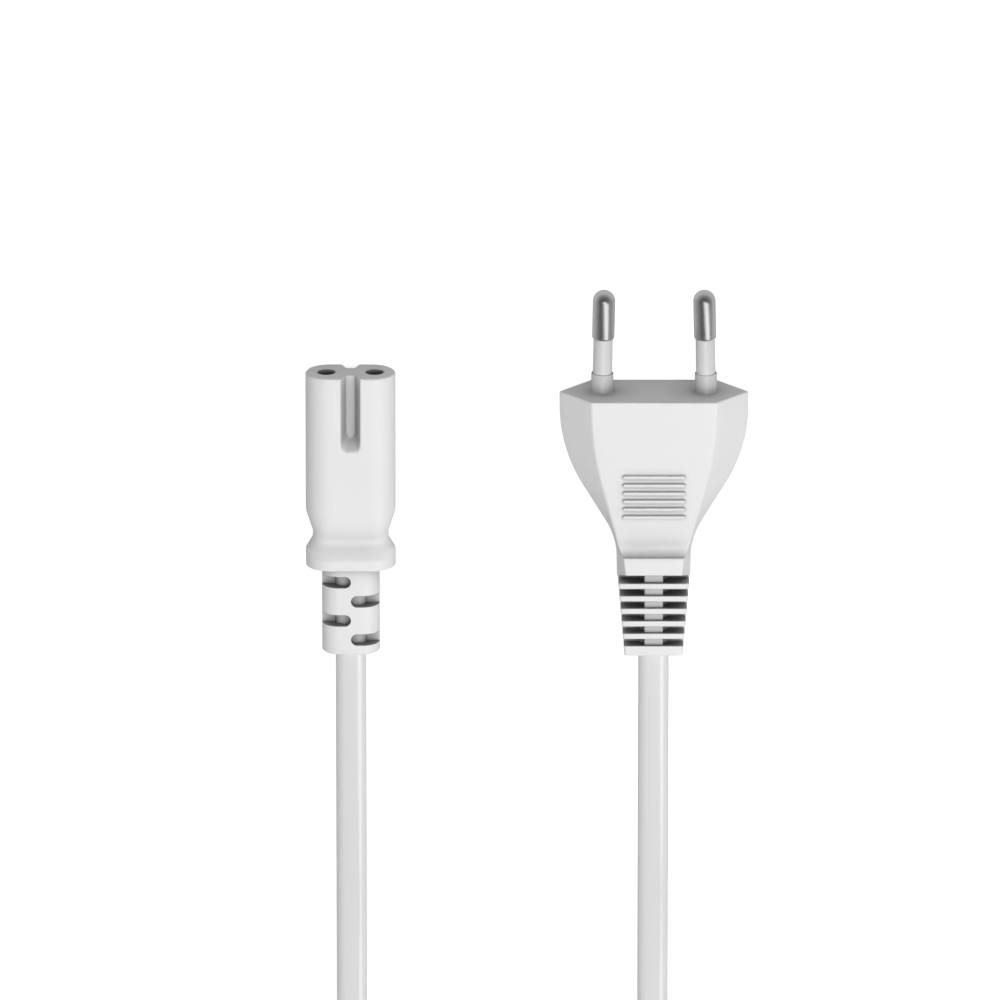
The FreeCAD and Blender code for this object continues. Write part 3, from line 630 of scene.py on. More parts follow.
def relief_rings(half_x, half_z, corner, behind, steps, fill=0):
    """Rounded rectangles round the plug's axis, one for each distance behind the collar."""
    signs = np.array([(1, 1), (-1, 1), (-1, -1), (1, -1)])
    outline = round_corners(np.stack([half_x, half_z], 1)[:, None] * signs, corner, steps, fill)
    return stand(outline, 0, face_y - collar_end - behind[:, None], plug_axis_z)


def taper(behind, start, end):
    """Straight change from start at the collar to end at the relief's mouth."""
    return start + (end - start) * np.clip(behind / RELIEF_LENGTH, 0, 1)


behind, on_bar = stations[:, 0], stations[:, 1] > 0
bar_x = taper(behind, RELIEF_WIDTH, RELIEF_END_WIDTH) / 2 - stations[:, 2]
bar_z = taper(behind, RELIEF_THICKNESS, RELIEF_END_THICKNESS) / 2 - stations[:, 2]
relief = relief_rings(np.where(on_bar, bar_x, SPINE_WIDTH / 2),
                      np.where(on_bar, bar_z, bar_z - SPINE_RECESS),
                      np.where(on_bar, BAR_CORNER, SPINE_CORNER)[:, None], behind, steps=6, fill=2)
print("plug's relief: %d slots, %d slices" % (SLOT_COUNT, len(relief)))

# %% [markdown]
# ## Inside the slots
#
# The slots don't go right through. A thin web at mid-height joins the bars, and the cord in the
# middle is covered by a film of the same plastic. The film is the cord's own section, a hair larger,
# so that the cord itself never shows in a slot.

# %% Web and film
RELIEF_WEB = 1.4
WEB_CORNER = 0.2
SHORT_OF_MOUTH = 0.5
COVER_GROWTH = 0.025

web_behind = np.array([-SUNK, 0.0, RELIEF_LENGTH - SHORT_OF_MOUTH])
web_x = taper(web_behind, RELIEF_WIDTH, RELIEF_END_WIDTH) / 2 - BAR_ROUND
web = relief_rings(web_x, np.full(3, RELIEF_WEB / 2), WEB_CORNER, web_behind, steps=4)


def cord_cover(x, y_from, y_to, z):
    """The film over the cord inside a strain relief: the cord's section, scaled up and carried
    straight along y."""
    outline = section * (1 + COVER_GROWTH)
    return skin([stand(outline, x, y, z) for y in (y_from, y_to)])


collar_y = face_y - collar_end
cover = cord_cover(0, collar_y + SUNK, collar_y - RELIEF_LENGTH + SHORT_OF_MOUTH, plug_axis_z)
print("film over the cord: %.2f mm wide" % np.ptp(cover[0][:, 0]))

# %% [markdown]
# ## Pins and sleeves
#
# A pin is turned from brass rod: a round tip, a bare end, a small rounded shoulder and a thinner
# shank. The hard plastic sleeve sits on the shank, a little slimmer than the bare end. Both are
# profiles spun round the pin's own axis, which leans inwards, because a europlug's pins spring
# against the socket's contacts. Blender's Screw modifier would spin them too, but an axis of any lean
# is simpler in numpy.

# %% Pins and sleeves
PIN_DIA = 4.0
PIN_BARE_LENGTH = 9.0
PIN_BACK = 13.0
PIN_SHOULDER_ROUND = 0.35
SHANK_DIA = 2.62
SLEEVE_DIA = 3.46
SLEEVE_BACK = 8.0
SLEEVE_EDGE = 0.12
PIN_AROUND = 72

shoulder = PIN_LENGTH - PIN_BARE_LENGTH
r_pin, r_sleeve, r_shank = PIN_DIA / 2, SLEEVE_DIA / 2, SHANK_DIA / 2
shoulder_run, shoulder_in = edge_round(PIN_SHOULDER_ROUND, 6)
tip_in, tip_run = edge_round(r_pin, 17)
pin_profile = np.concatenate([[(0, -PIN_BACK), (r_shank, -PIN_BACK), (r_shank, shoulder)],
                              np.stack([r_pin - shoulder_in, shoulder + shoulder_run], axis=1),
                              np.stack([r_pin - tip_in, PIN_LENGTH - tip_run], axis=1)])
sleeve_profile = [(0, -SLEEVE_BACK), (r_sleeve, -SLEEVE_BACK), (r_sleeve, shoulder - SLEEVE_EDGE),
                  (r_sleeve - SLEEVE_EDGE / 3, shoulder - SLEEVE_EDGE / 4),
                  (r_sleeve - SLEEVE_EDGE, shoulder), (0, shoulder)]
feet, axes, pins, sleeves = {}, {}, {}, {}
for side, word in ((-1, "left"), (1, "right")):
    feet[word] = (side * PIN_SPACING_FACE / 2, face_y, plug_axis_z)
    axes[word] = (-side * math.sin(lean), math.cos(lean), 0)
    pin_shell = turned(pin_profile, feet[word], axes[word], PIN_AROUND)
    sleeve_shell = turned(sleeve_profile, feet[word], axes[word], PIN_AROUND)
    pins[word] = piece("pin_" + word + "_turned", [pin_shell])
    sleeves[word] = piece("sleeve_" + word, [sleeve_shell])
print("pins lean inwards by %.2f degrees" % math.degrees(lean))

# %% [markdown]
# ## Pin bosses and the whole plug moulding
#
# A boss is a turned cup round the foot of each sleeve, with a fine open gap at its rim. It could be
# drawn out of the mating face, but turned like the pins it leans with them. With the housing, relief,
# web, film and ribs it makes one piece.

# %% Plug moulding
BOSS_HEIGHT = 3.5
BOSS_WALL = 0.24
BOSS_FOOT = 0.25
BOSS_FOOT_RISE = 0.06
BOSS_EDGE = 0.08
BOSS_RIM_GAP = 0.12
BOSS_RIM_DEPTH = 0.4
BOSS_LIP = 0.03

r_boss = r_sleeve + BOSS_WALL
r_gap = r_sleeve + BOSS_RIM_GAP
boss_profile = [(0, -SUNK), (r_boss + BOSS_FOOT, -SUNK), (r_boss + BOSS_FOOT, 0.0),
                (r_boss + BOSS_EDGE, BOSS_FOOT_RISE), (r_boss, BOSS_FOOT),
                (r_boss, BOSS_HEIGHT - BOSS_EDGE), (r_boss - BOSS_EDGE / 2, BOSS_HEIGHT),
                (r_gap + BOSS_LIP, BOSS_HEIGHT), (r_gap, BOSS_HEIGHT - BOSS_EDGE / 2),
                (r_gap, BOSS_HEIGHT - BOSS_RIM_DEPTH), (0, BOSS_HEIGHT - BOSS_RIM_DEPTH)]
bosses = [turned(boss_profile, feet[word], axes[word], PIN_AROUND) for word in ("left", "right")]
plug = piece("plug_moulding", [skin(housing), skin(relief), skin(web), cover] + ribs + bosses)
print("plug moulding: %d faces" % len(plug.data.polygons))

# %% [markdown]
# ## Figure-8 connector seen from the side
#
# The connector's grip is a flat oval that narrows to a waist and ends in a flange. The narrow sides
# and the broad faces narrow a little differently, so there are two side-view lines, both with
# rounded corners. The rows of the mesh stand close together where the keying groove ends.

# %% Connector side view
CONN_WIDTH = 16.1
CONN_THICKNESS = 8.55
CONN_EDGE = 0.35
GROOVE_LENGTH = 13.9
GROOVE_ROWS = 28
GROOVE_ROWS_BEFORE = 3.2
GROOVE_ROWS_PAST = 0.8
ROW_CLEARANCE = 0.1
GRIP_LENGTH = 25.9
GRIP_ROUND = 4.0
WAIST_BACK = 30.6
WAIST_DEPTH = 1.52
WAIST_ROUND = 2.4
FLANGE_FRONT = 33.1
FLANGE_FRONT_ROUND = 0.9
FLANGE_END = 36.4
FLANGE_ROUND = 0.22
FLANGE_END_DROP = 2.0
FACE_BEND_BACK = 27.7
FACE_BEND_ROUND = 11.3
FACE_WAIST_BACK = 31.4
FACE_WAIST_DEPTH = 1.72
FACE_WAIST_ROUND = 1.95
FACE_FLANGE_FRONT = 34.5
FACE_FLANGE_ROUND = 0.3

conn_face_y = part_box("connector_body")[1].y / MM
conn_full = CONN_THICKNESS / 2
conn_centre = (CONN_WIDTH - CONN_THICKNESS) / 2
rows_from = GROOVE_LENGTH - GROOVE_ROWS_BEFORE
rows_to = GROOVE_LENGTH + GROOVE_ROWS_PAST
waist_from = rows_to + ROW_CLEARANCE
side_line = [[(CONN_EDGE, conn_full), (rows_from, conn_full), (rows_to, conn_full),
              (GRIP_LENGTH, conn_full), (WAIST_BACK, conn_full - WAIST_DEPTH),
              (FLANGE_FRONT, conn_full), (FLANGE_END, conn_full),
              (FLANGE_END, conn_full - FLANGE_END_DROP)]]
side_rounds = [[0, 0, 0, GRIP_ROUND, WAIST_ROUND, FLANGE_FRONT_ROUND, FLANGE_ROUND, 0]]
waist_line = round_corners(side_line, side_rounds, steps=12, fill=14, closed=False)[0]
front_run, front_in = edge_round(CONN_EDGE, EDGE_SLICES)
front_line = np.stack([front_run, conn_full - front_in], axis=1)
groove_back = np.linspace(rows_from, rows_to, GROOVE_ROWS)
groove_line = np.stack([groove_back, np.full(GROOVE_ROWS, conn_full)], axis=1)
past_groove = waist_line[waist_line[:, 0] > waist_from]
conn_line = np.concatenate([front_line, groove_line, past_groove])
gaps = np.concatenate([[1], np.linalg.norm(np.diff(conn_line, axis=0), axis=1)])
conn_line = conn_line[gaps > 1e-6]
conn_back, conn_side = conn_line[:, :1], conn_line[:, 1:]

face_corners = [[(GROOVE_LENGTH, conn_full), (FACE_BEND_BACK, conn_full),
                 (FACE_WAIST_BACK, conn_full - FACE_WAIST_DEPTH), (FACE_FLANGE_FRONT, conn_full),
                 (FLANGE_END, conn_full)]]
face_rounds = [[0, FACE_BEND_ROUND, FACE_WAIST_ROUND, FACE_FLANGE_ROUND, 0]]
face_line = round_corners(face_corners, face_rounds, steps=24, closed=False)[0]
on_face = np.interp(conn_back, face_line[:, 0], face_line[:, 1])
in_waist = (conn_back > waist_from) & (conn_back < FLANGE_END - FLANGE_ROUND)
conn_high = np.where(in_waist, on_face, conn_side)
print("connector: %d slices over %.1f mm, waist %.2f mm thick"
      % (len(conn_back), FLANGE_END, 2 * conn_high[in_waist].min()))

# %% [markdown]
# ## Keying groove
#
# Both broad faces have a groove with slanted walls and a sloping round end, which fits a rib in the
# inlet. It could be cut with a Boolean, but as a formula it needs none: the groove is a depth that is
# taken off the flat part of each slice. The depth is the smaller of the full depth and the walls'
# slope times the distance to the groove's outline, and every "smaller of" is rounded off.

# %% Keying groove
GROOVE_WIDTH = 3.5
GROOVE_FLOOR_WIDTH = 1.6
GROOVE_DEPTH = 2.2
GROOVE_END_RUN = 2.1
GROOVE_END_BLEND = 0.95
GROOVE_FLOOR_BLEND = 0.22
GROOVE_RIM_BLEND = 0.3


def soft_min(a, b, blend):
    """The smaller of two values, with a parabola in place of the corner where they differ by less
    than blend."""
    mix = np.clip(0.5 + 0.5 * (b - a) / blend, 0, 1)
    return b * (1 - mix) + a * mix - blend * mix * (1 - mix)


def groove_depth(x, back):
    """Depth of the groove under a point of the broad face: the wall's slope times the distance inside
    the groove's outline, never more than the full depth nor less than nothing, all limits rounded."""
    wall = (GROOVE_WIDTH - GROOVE_FLOOR_WIDTH) / 2
    from_side = GROOVE_WIDTH / 2 - np.abs(x)
    from_end = (GROOVE_LENGTH - back) * wall / GROOVE_END_RUN
    inside = soft_min(from_side, from_end, GROOVE_END_BLEND)
    full = np.full_like(inside, GROOVE_DEPTH)
    depth = soft_min(inside * GROOVE_DEPTH / wall, full, GROOVE_FLOOR_BLEND)
    return -soft_min(-depth, np.zeros_like(depth), GROOVE_RIM_BLEND)


print("groove: %.2f mm deep in the middle of its face"
      % groove_depth(np.array([0.0]), np.array([0.0]))[0])

# %% [markdown]
# ## Connector skin
#
# Each slice is a stadium: a half circle at each end, and the broad faces between them, whose columns
# stand close together where the groove's walls are.

# %% Connector skin
# Columns from the half circle to the middle, as shares of the way, close together over the wall
COLUMN_SHARES = (1.0, 0.82, 0.68, 0.6, 0.56, 0.53, 0.505, 0.48, 0.455, 0.42, 0.38, 0.34, 0.3, 0.265,
                 0.24, 0.215, 0.19, 0.12)

half_x = np.array(COLUMN_SHARES) * conn_centre
across = np.concatenate([half_x, [0], -half_x[::-1]])
arc_angle = np.linspace(-math.pi / 2, math.pi / 2, 29)[1:-1]
arc = np.stack([conn_centre + conn_side * np.cos(arc_angle), conn_high * np.sin(arc_angle)], axis=-1)
top_z = np.minimum(conn_high, conn_full - groove_depth(across[None], conn_back))
broad_face = np.stack([np.broadcast_to(across, top_z.shape), top_z], axis=-1)
half_outline = np.concatenate([arc, broad_face], axis=1)
grip_outline = np.concatenate([half_outline, -half_outline], axis=1)
grip_rings = stand(grip_outline, conn_x, conn_face_y - conn_back, conn_z)
grip = piece("connector_moulding", [skin(grip_rings)])
print("connector grip: %.2f x %.2f mm" % (np.ptp(grip_rings[..., 0]), np.ptp(grip_rings[..., 2])))

# %% [markdown]
# ## Connector holes
#
# Two stepped holes take the inlet's pins. They are carved, because a Boolean of a turned shell gives
# a clean round edge in the flat face. A small chamfer breaks the edge, and further in the hole narrows
# to the room of the contact.

# %% Connector holes
HOLE_PITCH = 8.6
HOLE_DIA = 3.24
HOLE_DEPTH = 2.6
HOLE_BREAK = 0.12
CONTACT_ROOM = 2.44
CONTACT_DEPTH = 14.5

r_hole, r_room = HOLE_DIA / 2, CONTACT_ROOM / 2
hole_profile = [(0, SUNK), (r_hole + HOLE_BREAK + SUNK, SUNK), (r_hole + HOLE_BREAK, 0.0),
                (r_hole, -HOLE_BREAK), (r_hole, -HOLE_DEPTH), (r_room, -HOLE_DEPTH),
                (r_room, -CONTACT_DEPTH), (0, -CONTACT_DEPTH)]
hole_feet = [(conn_x + side * HOLE_PITCH / 2, conn_face_y, conn_z) for side in (1, -1)]
carve(grip, [turned(hole_profile, foot, (0, 1, 0)) for foot in hole_feet])
print("holes %.1f mm apart, %d faces after carving" % (HOLE_PITCH, len(grip.data.polygons)))

# %% [markdown]
# ## Notched strain relief of the connector
#
# This relief is a flat oval bar with notches that come in from alternate sides, above and below a
# thin web, so that the bar bends like a spring. The notches have round ends and are carved. The bar
# and a film over the cord are then joined to the grip, as they are one moulding.

# %% Notched strain relief
CONN_RELIEF_LENGTH = 16.2
CONN_RELIEF_WIDTH = 10.35
CONN_RELIEF_THICKNESS = 6.4
RELIEF_EDGE = 0.35
NOTCH_COUNT = 4
NOTCH_WIDTH = 2.16
NOTCH_FIRST_BACK = 2.45
NOTCH_PITCH = 3.63
NOTCH_WEB = 0.5

flange_y = conn_face_y - FLANGE_END
tail_in, tail_run = edge_round(RELIEF_EDGE, 6)
tail_back = np.concatenate([[-SUNK], CONN_RELIEF_LENGTH - tail_run])[:, None]
tail_high = (CONN_RELIEF_THICKNESS / 2 - np.concatenate([[0], tail_in]))[:, None]
tail_centre = (CONN_RELIEF_WIDTH - CONN_RELIEF_THICKNESS) / 2
tail_right = np.stack([tail_centre + tail_high * np.cos(arc_angle),
                       tail_high * np.sin(arc_angle)], axis=-1)
tail_outline = np.concatenate([tail_right, -tail_right], axis=1)
tail_rings = stand(tail_outline, conn_x, flange_y - tail_back, conn_z)
relief_bar = piece("connector_relief", [skin(tail_rings)])

notch_end = np.linspace(math.pi / 2, 3 * math.pi / 2, 17)
r_notch = NOTCH_WIDTH / 2
notch_x = np.concatenate([r_notch + r_notch * np.cos(notch_end), [CONN_WIDTH, CONN_WIDTH]])
notch_y = np.concatenate([r_notch * np.sin(notch_end), [-r_notch, r_notch]])
notches = []
for i in range(NOTCH_COUNT):
    side = -1 if i % 2 == 0 else 1
    middle_y = flange_y - NOTCH_FIRST_BACK - i * NOTCH_PITCH
    for up in (1, -1):
        levels = [conn_z + up * NOTCH_WEB / 2, conn_z + up * CONN_THICKNESS]
        notches.append(skin([np.stack([conn_x + side * notch_x, middle_y + notch_y,
                                       np.full(len(notch_x), z)], axis=1) for z in levels]))
carve(relief_bar, notches)

film = cord_cover(conn_x, flange_y + SUNK, flange_y - CONN_RELIEF_LENGTH + SHORT_OF_MOUTH, conn_z)
conn_cover = piece("connector_cover", [film])
whole = bmesh.new()
for part in (grip, relief_bar, conn_cover):
    whole.from_mesh(part.data)
whole.to_mesh(grip.data)
whole.free()
bpy.data.objects.remove(relief_bar)
bpy.data.objects.remove(conn_cover)
print("connector: %d notches, %d faces" % (NOTCH_COUNT, len(grip.data.polygons)))

# %% [markdown]
# ## Coil tie
#
# A flat plastic strip goes once round the coil's turns and overlaps itself on top. Its side view is a
# rectangle with rounded corners, and each point of that line carries a small rectangle, the strip's
# own section.

# %% Coil tie
TIE_THICKNESS = 0.8
TIE_CORNER = 1.6
TIE_MARGIN = 0.15
TIE_LAP = 6.0
LAP_ROWS = 8
LAP_SINK = 0.2

tie_low, tie_high = (np.array(v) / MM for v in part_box("coil_tie"))
x_low, x_high = tie_low[0] + TIE_MARGIN, tie_high[0] - TIE_MARGIN


def tie_loop(gap, corner):
    """The strip's line round the coil in side view: a rectangle with rounded corners, this far inside
    the tie's box."""
    front, back, floor, roof = tie_high[1] - gap, tie_low[1] + gap, gap, coil_height - gap
    loop = [[(front, floor), (front, roof), (back, roof), (back, floor)]]
    return round_corners(loop, corner, steps=6, fill=3)[0]


outer_loop = tie_loop(0, TIE_CORNER)
inner_loop = tie_loop(TIE_THICKNESS, TIE_CORNER - TIE_THICKNESS)
strip = np.stack([np.column_stack([np.full(len(loop), x), loop]) for loop, x in
                  ((outer_loop, x_low), (inner_loop, x_low), (inner_loop, x_high),
                   (outer_loop, x_high))], axis=1)
strip_points, strip_faces = skin(np.concatenate([strip, strip[:1]]))
lap_start = tie_low[1] + TIE_THICKNESS
lap_y = np.linspace(lap_start, lap_start + TIE_LAP, LAP_ROWS)
lap_low, lap_high = coil_height - LAP_SINK, coil_height + TIE_THICKNESS
lap = np.stack([np.stack([np.full(LAP_ROWS, x), lap_y, np.full(LAP_ROWS, z)], axis=1) for x, z in
                ((x_low, lap_low), (x_high, lap_low), (x_high, lap_high), (x_low, lap_high))], axis=1)
tie = piece("tie_strip", [(strip_points, strip_faces[:-2]), skin(lap)])
print("tie: %.1f mm wide, round %.1f mm of coil" % (x_high - x_low, np.ptp(inner_loop[:, 0])))

# %% [markdown]
# ## Put the pieces on the frame
#
# Nothing on a lead moves, so every piece rides on the one body and stands for the CAD nodes that it
# covers.

# %% Put the pieces on the frame
dress(plug, "housing_pvc", "plug_body")
dress(grip, "housing_pvc", "connector_body")
for word in ("left", "right"):
    dress(pins[word], "nickel", "pin_" + word)
    dress(sleeves[word], "sleeve_plastic", "pin_sleeve_" + word)
dress(tie, "tie_plastic", "coil_tie")
dress(cord, "cord_pvc", "cord_plug_run", "cord_connector_run", "cord_coil")
(path * MM).tolist()

# %% [markdown]
# ## Shader arithmetic
#
# Node trees are easier to read as sums. A small class wraps one output socket, and adding or
# multiplying two of them adds the Math node that does it. Every other kind of node comes from one
# method.

# %% Shader helper


class Signal:
    """One output of a shader tree; arithmetic on it adds Math nodes."""

    def __init__(self, tree, socket=None):
        self.tree = tree
        self.socket = socket

    def node(self, kind, settings=None, sockets=None, out=0):
        """Adds a node: first its settings, then values or links for its sockets."""
        made = self.tree.nodes.new(kind)
        for key, value in (settings or {}).items():
            setattr(made, key, value)
        for key, value in (sockets or {}).items():
            if isinstance(value, Signal):
                self.tree.links.new(value.socket, made.inputs[key])
            else:
                made.inputs[key].default_value = value
        return Signal(self.tree, made.outputs[out] if len(made.outputs) else None)

    def math(self, operation, first, second):
        """One Math node on two values."""
        return self.node("ShaderNodeMath", {"operation": operation}, {0: first, 1: second})

    def __add__(self, other):
        return self.math("ADD", self, other)

    def __radd__(self, other):
        return self.math("ADD", other, self)

    def __sub__(self, other):
        return self.math("SUBTRACT", self, other)

    def __rsub__(self, other):
        return self.math("SUBTRACT", other, self)

    def __mul__(self, other):
        return self.math("MULTIPLY", self, other)

    def __rmul__(self, other):
        return self.math("MULTIPLY", other, self)


finishes = {}


def new_finish(name):
    """An empty material, kept under its name, and a signal that builds in its tree."""
    material = bpy.data.materials.new(name)
    material.use_nodes = True
    material.node_tree.nodes.clear()
    finishes[name] = material
    return Signal(material.node_tree)


def grey(tone):
    """A neutral colour."""
    return (tone, tone, tone, 1)


def noise(build, where, scale, detail=2.0):
    """Noise of 0 to 1 on the piece's own coordinates; scale is in waves per metre."""
    return build.node("ShaderNodeTexNoise", None,
                      {"Vector": where, "Scale": scale, "Detail": detail}, out="Fac")


def two_tone(build, share, dark, light):
    """Colour between two tones."""
    return build.node("ShaderNodeMix", {"data_type": "RGBA"},
                      {"Factor": share, "A": dark, "B": light}, out="Result")


def relief_bump(build, height, depth, strength, extra=None):
    """Normal of a surface whose height, of 0 to 1, is this many millimetres deep."""
    sockets = {"Strength": strength, "Distance": depth * MM, "Height": height}
    return build.node("ShaderNodeBump", None, {**sockets, **(extra or {})})


def close(build, colour, roughness, normal, constants):
    """Principled surface: what varies is linked, and what is the same all over is set on its own
    sockets."""
    linked = {"Base Color": colour, "Roughness": roughness, "Normal": normal}
    surface = build.node("ShaderNodeBsdfPrincipled", None, {**constants, **linked})
    build.node("ShaderNodeOutputMaterial", None, {"Surface": surface})


# %% [markdown]
# ## Moulded PVC
#
# Both mouldings are soft white PVC with a fine satin grain from the mould, in tones that drift a
# little. In deep slots white plastic looks dark, because hardly any light finds its way out again. A
# few light bounces don't show that fully, so shade is painted into the colour: it falls to a dull grey
# where a point sees little open space, which the Ambient Occlusion node measures. All three moulded
# finishes carry this painted shade. The pin sleeves and the bosses round them are a harder, smoother
# plastic, and the tie is a plain one.

# %% Moulded PVC
# Painted shade in slots and corners: how far to look for open space, how fast the colour falls, the
# grey it falls to, and the samples.
PAINTED_SHADE_REACH = 6.0
PAINTED_SHADE_POWER = 1.3
PAINTED_SHADE_TONE = 0.06
PAINTED_SHADE_SAMPLES = 16
DRIFT_SCALE = 90.0
GRAIN_SCALE = 5200.0
GRAIN_DETAIL = 3.0
GRAIN_STRENGTH = 0.35
GRAIN_GLOSS = 0.08
BEVEL_SAMPLES = 6
PVC = {"IOR": 1.52, "Specular IOR Level": 0.42}


def painted_corner_shade(build, tone):
    """Painted shade: colour that falls to a dull grey in slots and inside corners, where shade falls.
    The open share of the space round a point, to a power, mixes from grey to the tone."""
    # Painted shade: the Ambient Occlusion node's open share darkens the base colour where shade falls.
    open_share = build.node("ShaderNodeAmbientOcclusion",
                            {"samples": PAINTED_SHADE_SAMPLES, "only_local": True},
                            {"Distance": PAINTED_SHADE_REACH * MM}, out="AO")
    share = build.math("POWER", open_share, PAINTED_SHADE_POWER)
    return two_tone(build, share, grey(PAINTED_SHADE_TONE), tone)


def moulded_pvc(name, dark, light, roughness, grain_depth, edge):
    """White PVC: a slow drift between two tones, a fine mould grain, painted shade in slots and
    corners, and edges softened by a hair.
    """
    build = new_finish(name)
    where = build.node("ShaderNodeTexCoord", out="Object")
    drift = noise(build, where, DRIFT_SCALE)
    grain = noise(build, where, GRAIN_SCALE, GRAIN_DETAIL)
    softened = build.node("ShaderNodeBevel", {"samples": BEVEL_SAMPLES}, {"Radius": edge * MM})
    bump = relief_bump(build, grain, grain_depth, GRAIN_STRENGTH, {"Normal": softened})
    tone = two_tone(build, drift, grey(dark), grey(light))
    # The base colour passed here carries painted shade in slots and inside corners.
    close(build, painted_corner_shade(build, tone), roughness - GRAIN_GLOSS / 2 + GRAIN_GLOSS * grain, bump, PVC)


moulded_pvc("housing_pvc", 0.815, 0.85, roughness=0.46, grain_depth=0.012, edge=0.16)
moulded_pvc("sleeve_plastic", 0.69, 0.72, roughness=0.26, grain_depth=0.003, edge=0.06)
moulded_pvc("tie_plastic", 0.76, 0.8, roughness=0.4, grain_depth=0.006, edge=0.1)
print("moulded:", ", ".join(finishes))

# %% [markdown]
# ## Drawn cord sheath
#
# The cord's sheath is the same plastic, but drawn through a hot die. It is a little greyer and much
# smoother, so that a lamp shows as a fine bright line along its round edge. A pattern along the cord
# would need a UV map. Noise on Object coordinates needs none, and so fine a grain shows no direction.

# %% Drawn cord sheath
CORD_DARK = 0.76
CORD_LIGHT = 0.785
CORD_ROUGHNESS = 0.16
CORD_HAZE = 0.06
SHEATH_DRIFT_SCALE = 60.0
SHEATH_GRAIN_SCALE = 3600.0
SHEATH = {"IOR": 1.52, "Specular IOR Level": 0.95}

build = new_finish("cord_pvc")
where = build.node("ShaderNodeTexCoord", out="Object")
drift = noise(build, where, SHEATH_DRIFT_SCALE)
grain = noise(build, where, SHEATH_GRAIN_SCALE)
sheath_tone = two_tone(build, drift, grey(CORD_DARK), grey(CORD_LIGHT))
sheath_bump = relief_bump(build, grain, depth=0.01, strength=0.3)
close(build, sheath_tone, CORD_ROUGHNESS + CORD_HAZE * grain, sheath_bump, SHEATH)
print("sheath: tones %.3f to %.3f" % (CORD_DARK, CORD_LIGHT))

# %% [markdown]
# ## Nickel plate
#
# The pins are brass with a nickel plate: a grey mirror, hazy from the bath, with the fine rings that
# turning leaves. A wave texture would make the rings too even, so they come from noise that is
# squeezed forty times along the pin.

# %% Nickel plate
RING_SCALE = 300.0
RING_SQUEEZE = 40.0
RING_DETAIL = 3.0
HAZE_SCALE = 700.0
NICKEL_DARK = (0.56, 0.56, 0.57, 1)
NICKEL_LIGHT = (0.62, 0.62, 0.63, 1)
NICKEL_ROUGHNESS = 0.3
NICKEL_HAZE = 0.06
NICKEL = {"Metallic": 1.0, "Specular Tint": grey(0.75)}

build = new_finish("nickel")
where = build.node("ShaderNodeTexCoord", out="Object")
squeezed = build.node("ShaderNodeMapping", None, {"Vector": where, "Scale": (1.0, RING_SQUEEZE, 1.0)})
turning_rings = noise(build, squeezed, RING_SCALE, RING_DETAIL)
haze = noise(build, where, HAZE_SCALE)
nickel_tone = two_tone(build, haze, NICKEL_DARK, NICKEL_LIGHT)
nickel_bump = relief_bump(build, turning_rings, depth=0.004, strength=0.12)
close(build, nickel_tone, NICKEL_ROUGHNESS + NICKEL_HAZE * haze, nickel_bump, NICKEL)
print("nickel: roughness %.2f to %.2f" % (NICKEL_ROUGHNESS, NICKEL_ROUGHNESS + NICKEL_HAZE))

# %% [markdown]
# ## Hidden pieces
#
# The pin bridge, contact carrier, contacts, cores and wires are inside the mouldings, and show through
# a hole at most. They still get honest colours, each with a little cloudiness: brown and blue cores,
# copper strands and a pale hard plastic. One function is enough for all of them.

# %% Hidden pieces
CLOUD_SCALE = 800.0


def plain_finish(name, dark, light, roughness, metallic):
    """Two tones of one colour and a little bump."""
    build = new_finish(name)
    where = build.node("ShaderNodeTexCoord", out="Object")
    cloud = noise(build, where, CLOUD_SCALE)
    bump = relief_bump(build, cloud, depth=0.01, strength=0.2)
    close(build, two_tone(build, cloud, dark, light), roughness, bump, {"Metallic": metallic})


plain_finish("inner_plastic", (0.62, 0.62, 0.6, 1), (0.7, 0.7, 0.68, 1), 0.5, 0.0)
plain_finish("core_blue", (0.04, 0.16, 0.5, 1), (0.05, 0.2, 0.56, 1), 0.45, 0.0)
plain_finish("core_brown", (0.19, 0.085, 0.04, 1), (0.23, 0.1, 0.05, 1), 0.45, 0.0)
plain_finish("copper", (0.62, 0.33, 0.2, 1), (0.74, 0.42, 0.27, 1), 0.3, 1.0)
print("finishes:", ", ".join(sorted(finishes)))

# %% [markdown]
# ## A finish for every piece
#
# CAD nodes take the finish of their slot in the record, and the new pieces that of the slot they were
# dressed in. The bosses are part of the plug's mesh but show the sleeves' plastic, so all faces that
# stand in front of the mating face use a second material.

# %% Hand out the finishes
BOSS_CLEAR = 0.01

slot_of = {entry["node"]: entry["material_slot"] for entry in frame["record"]["subparts"]}
painted = [(node, slot_of[name]) for name, node in cad_nodes.items()]
painted += [(plug, "housing_pvc"), (grip, "housing_pvc"), (tie, "tie_plastic"), (cord, "cord_pvc")]
painted += [(pins[word], "nickel") for word in pins]
painted += [(sleeves[word], "sleeve_plastic") for word in sleeves]
for made, slot in painted:
    made.data.materials.clear()
    made.data.materials.append(finishes[slot])
plug.data.materials.append(finishes["sleeve_plastic"])
middles = np.empty(len(plug.data.polygons) * 3)
plug.data.polygons.foreach_get("center", middles)
on_boss = middles.reshape(-1, 3)[:, 1] / MM > face_y + BOSS_CLEAR
plug.data.polygons.foreach_set("material_index", on_boss.astype(np.int32))
print("%d objects painted, %d faces of the plug in sleeve plastic" % (len(painted), on_boss.sum()))

# %% [markdown]
# ## Lamps
#
# White plastic on white only reads if its sides fall into soft grey. One wide panel hangs overhead, a
# little to the right, and gives most of the light. Mirrored in the pins it would wash them out, so
# glossy rays don't see it. They do see a long narrow panel further to the right, which draws the
# bright line along pins, sleeves and cord.

# %% Lamps
OVERHEAD_RADIANCE = 3.85
OVERHEAD_SIZE = (0.62, 0.95)
OVERHEAD_PLACE = (0.14, 0.0, 0.99)
STRIP_RADIANCE = 1.9
STRIP_SIZE = (0.4, 1.25)
STRIP_PLACE = (0.34, -0.25, 0.92)
AIM_BACK = 0.03

aim_point = Vector((coil_x * MM, face_y * MM - AIM_BACK, 0))


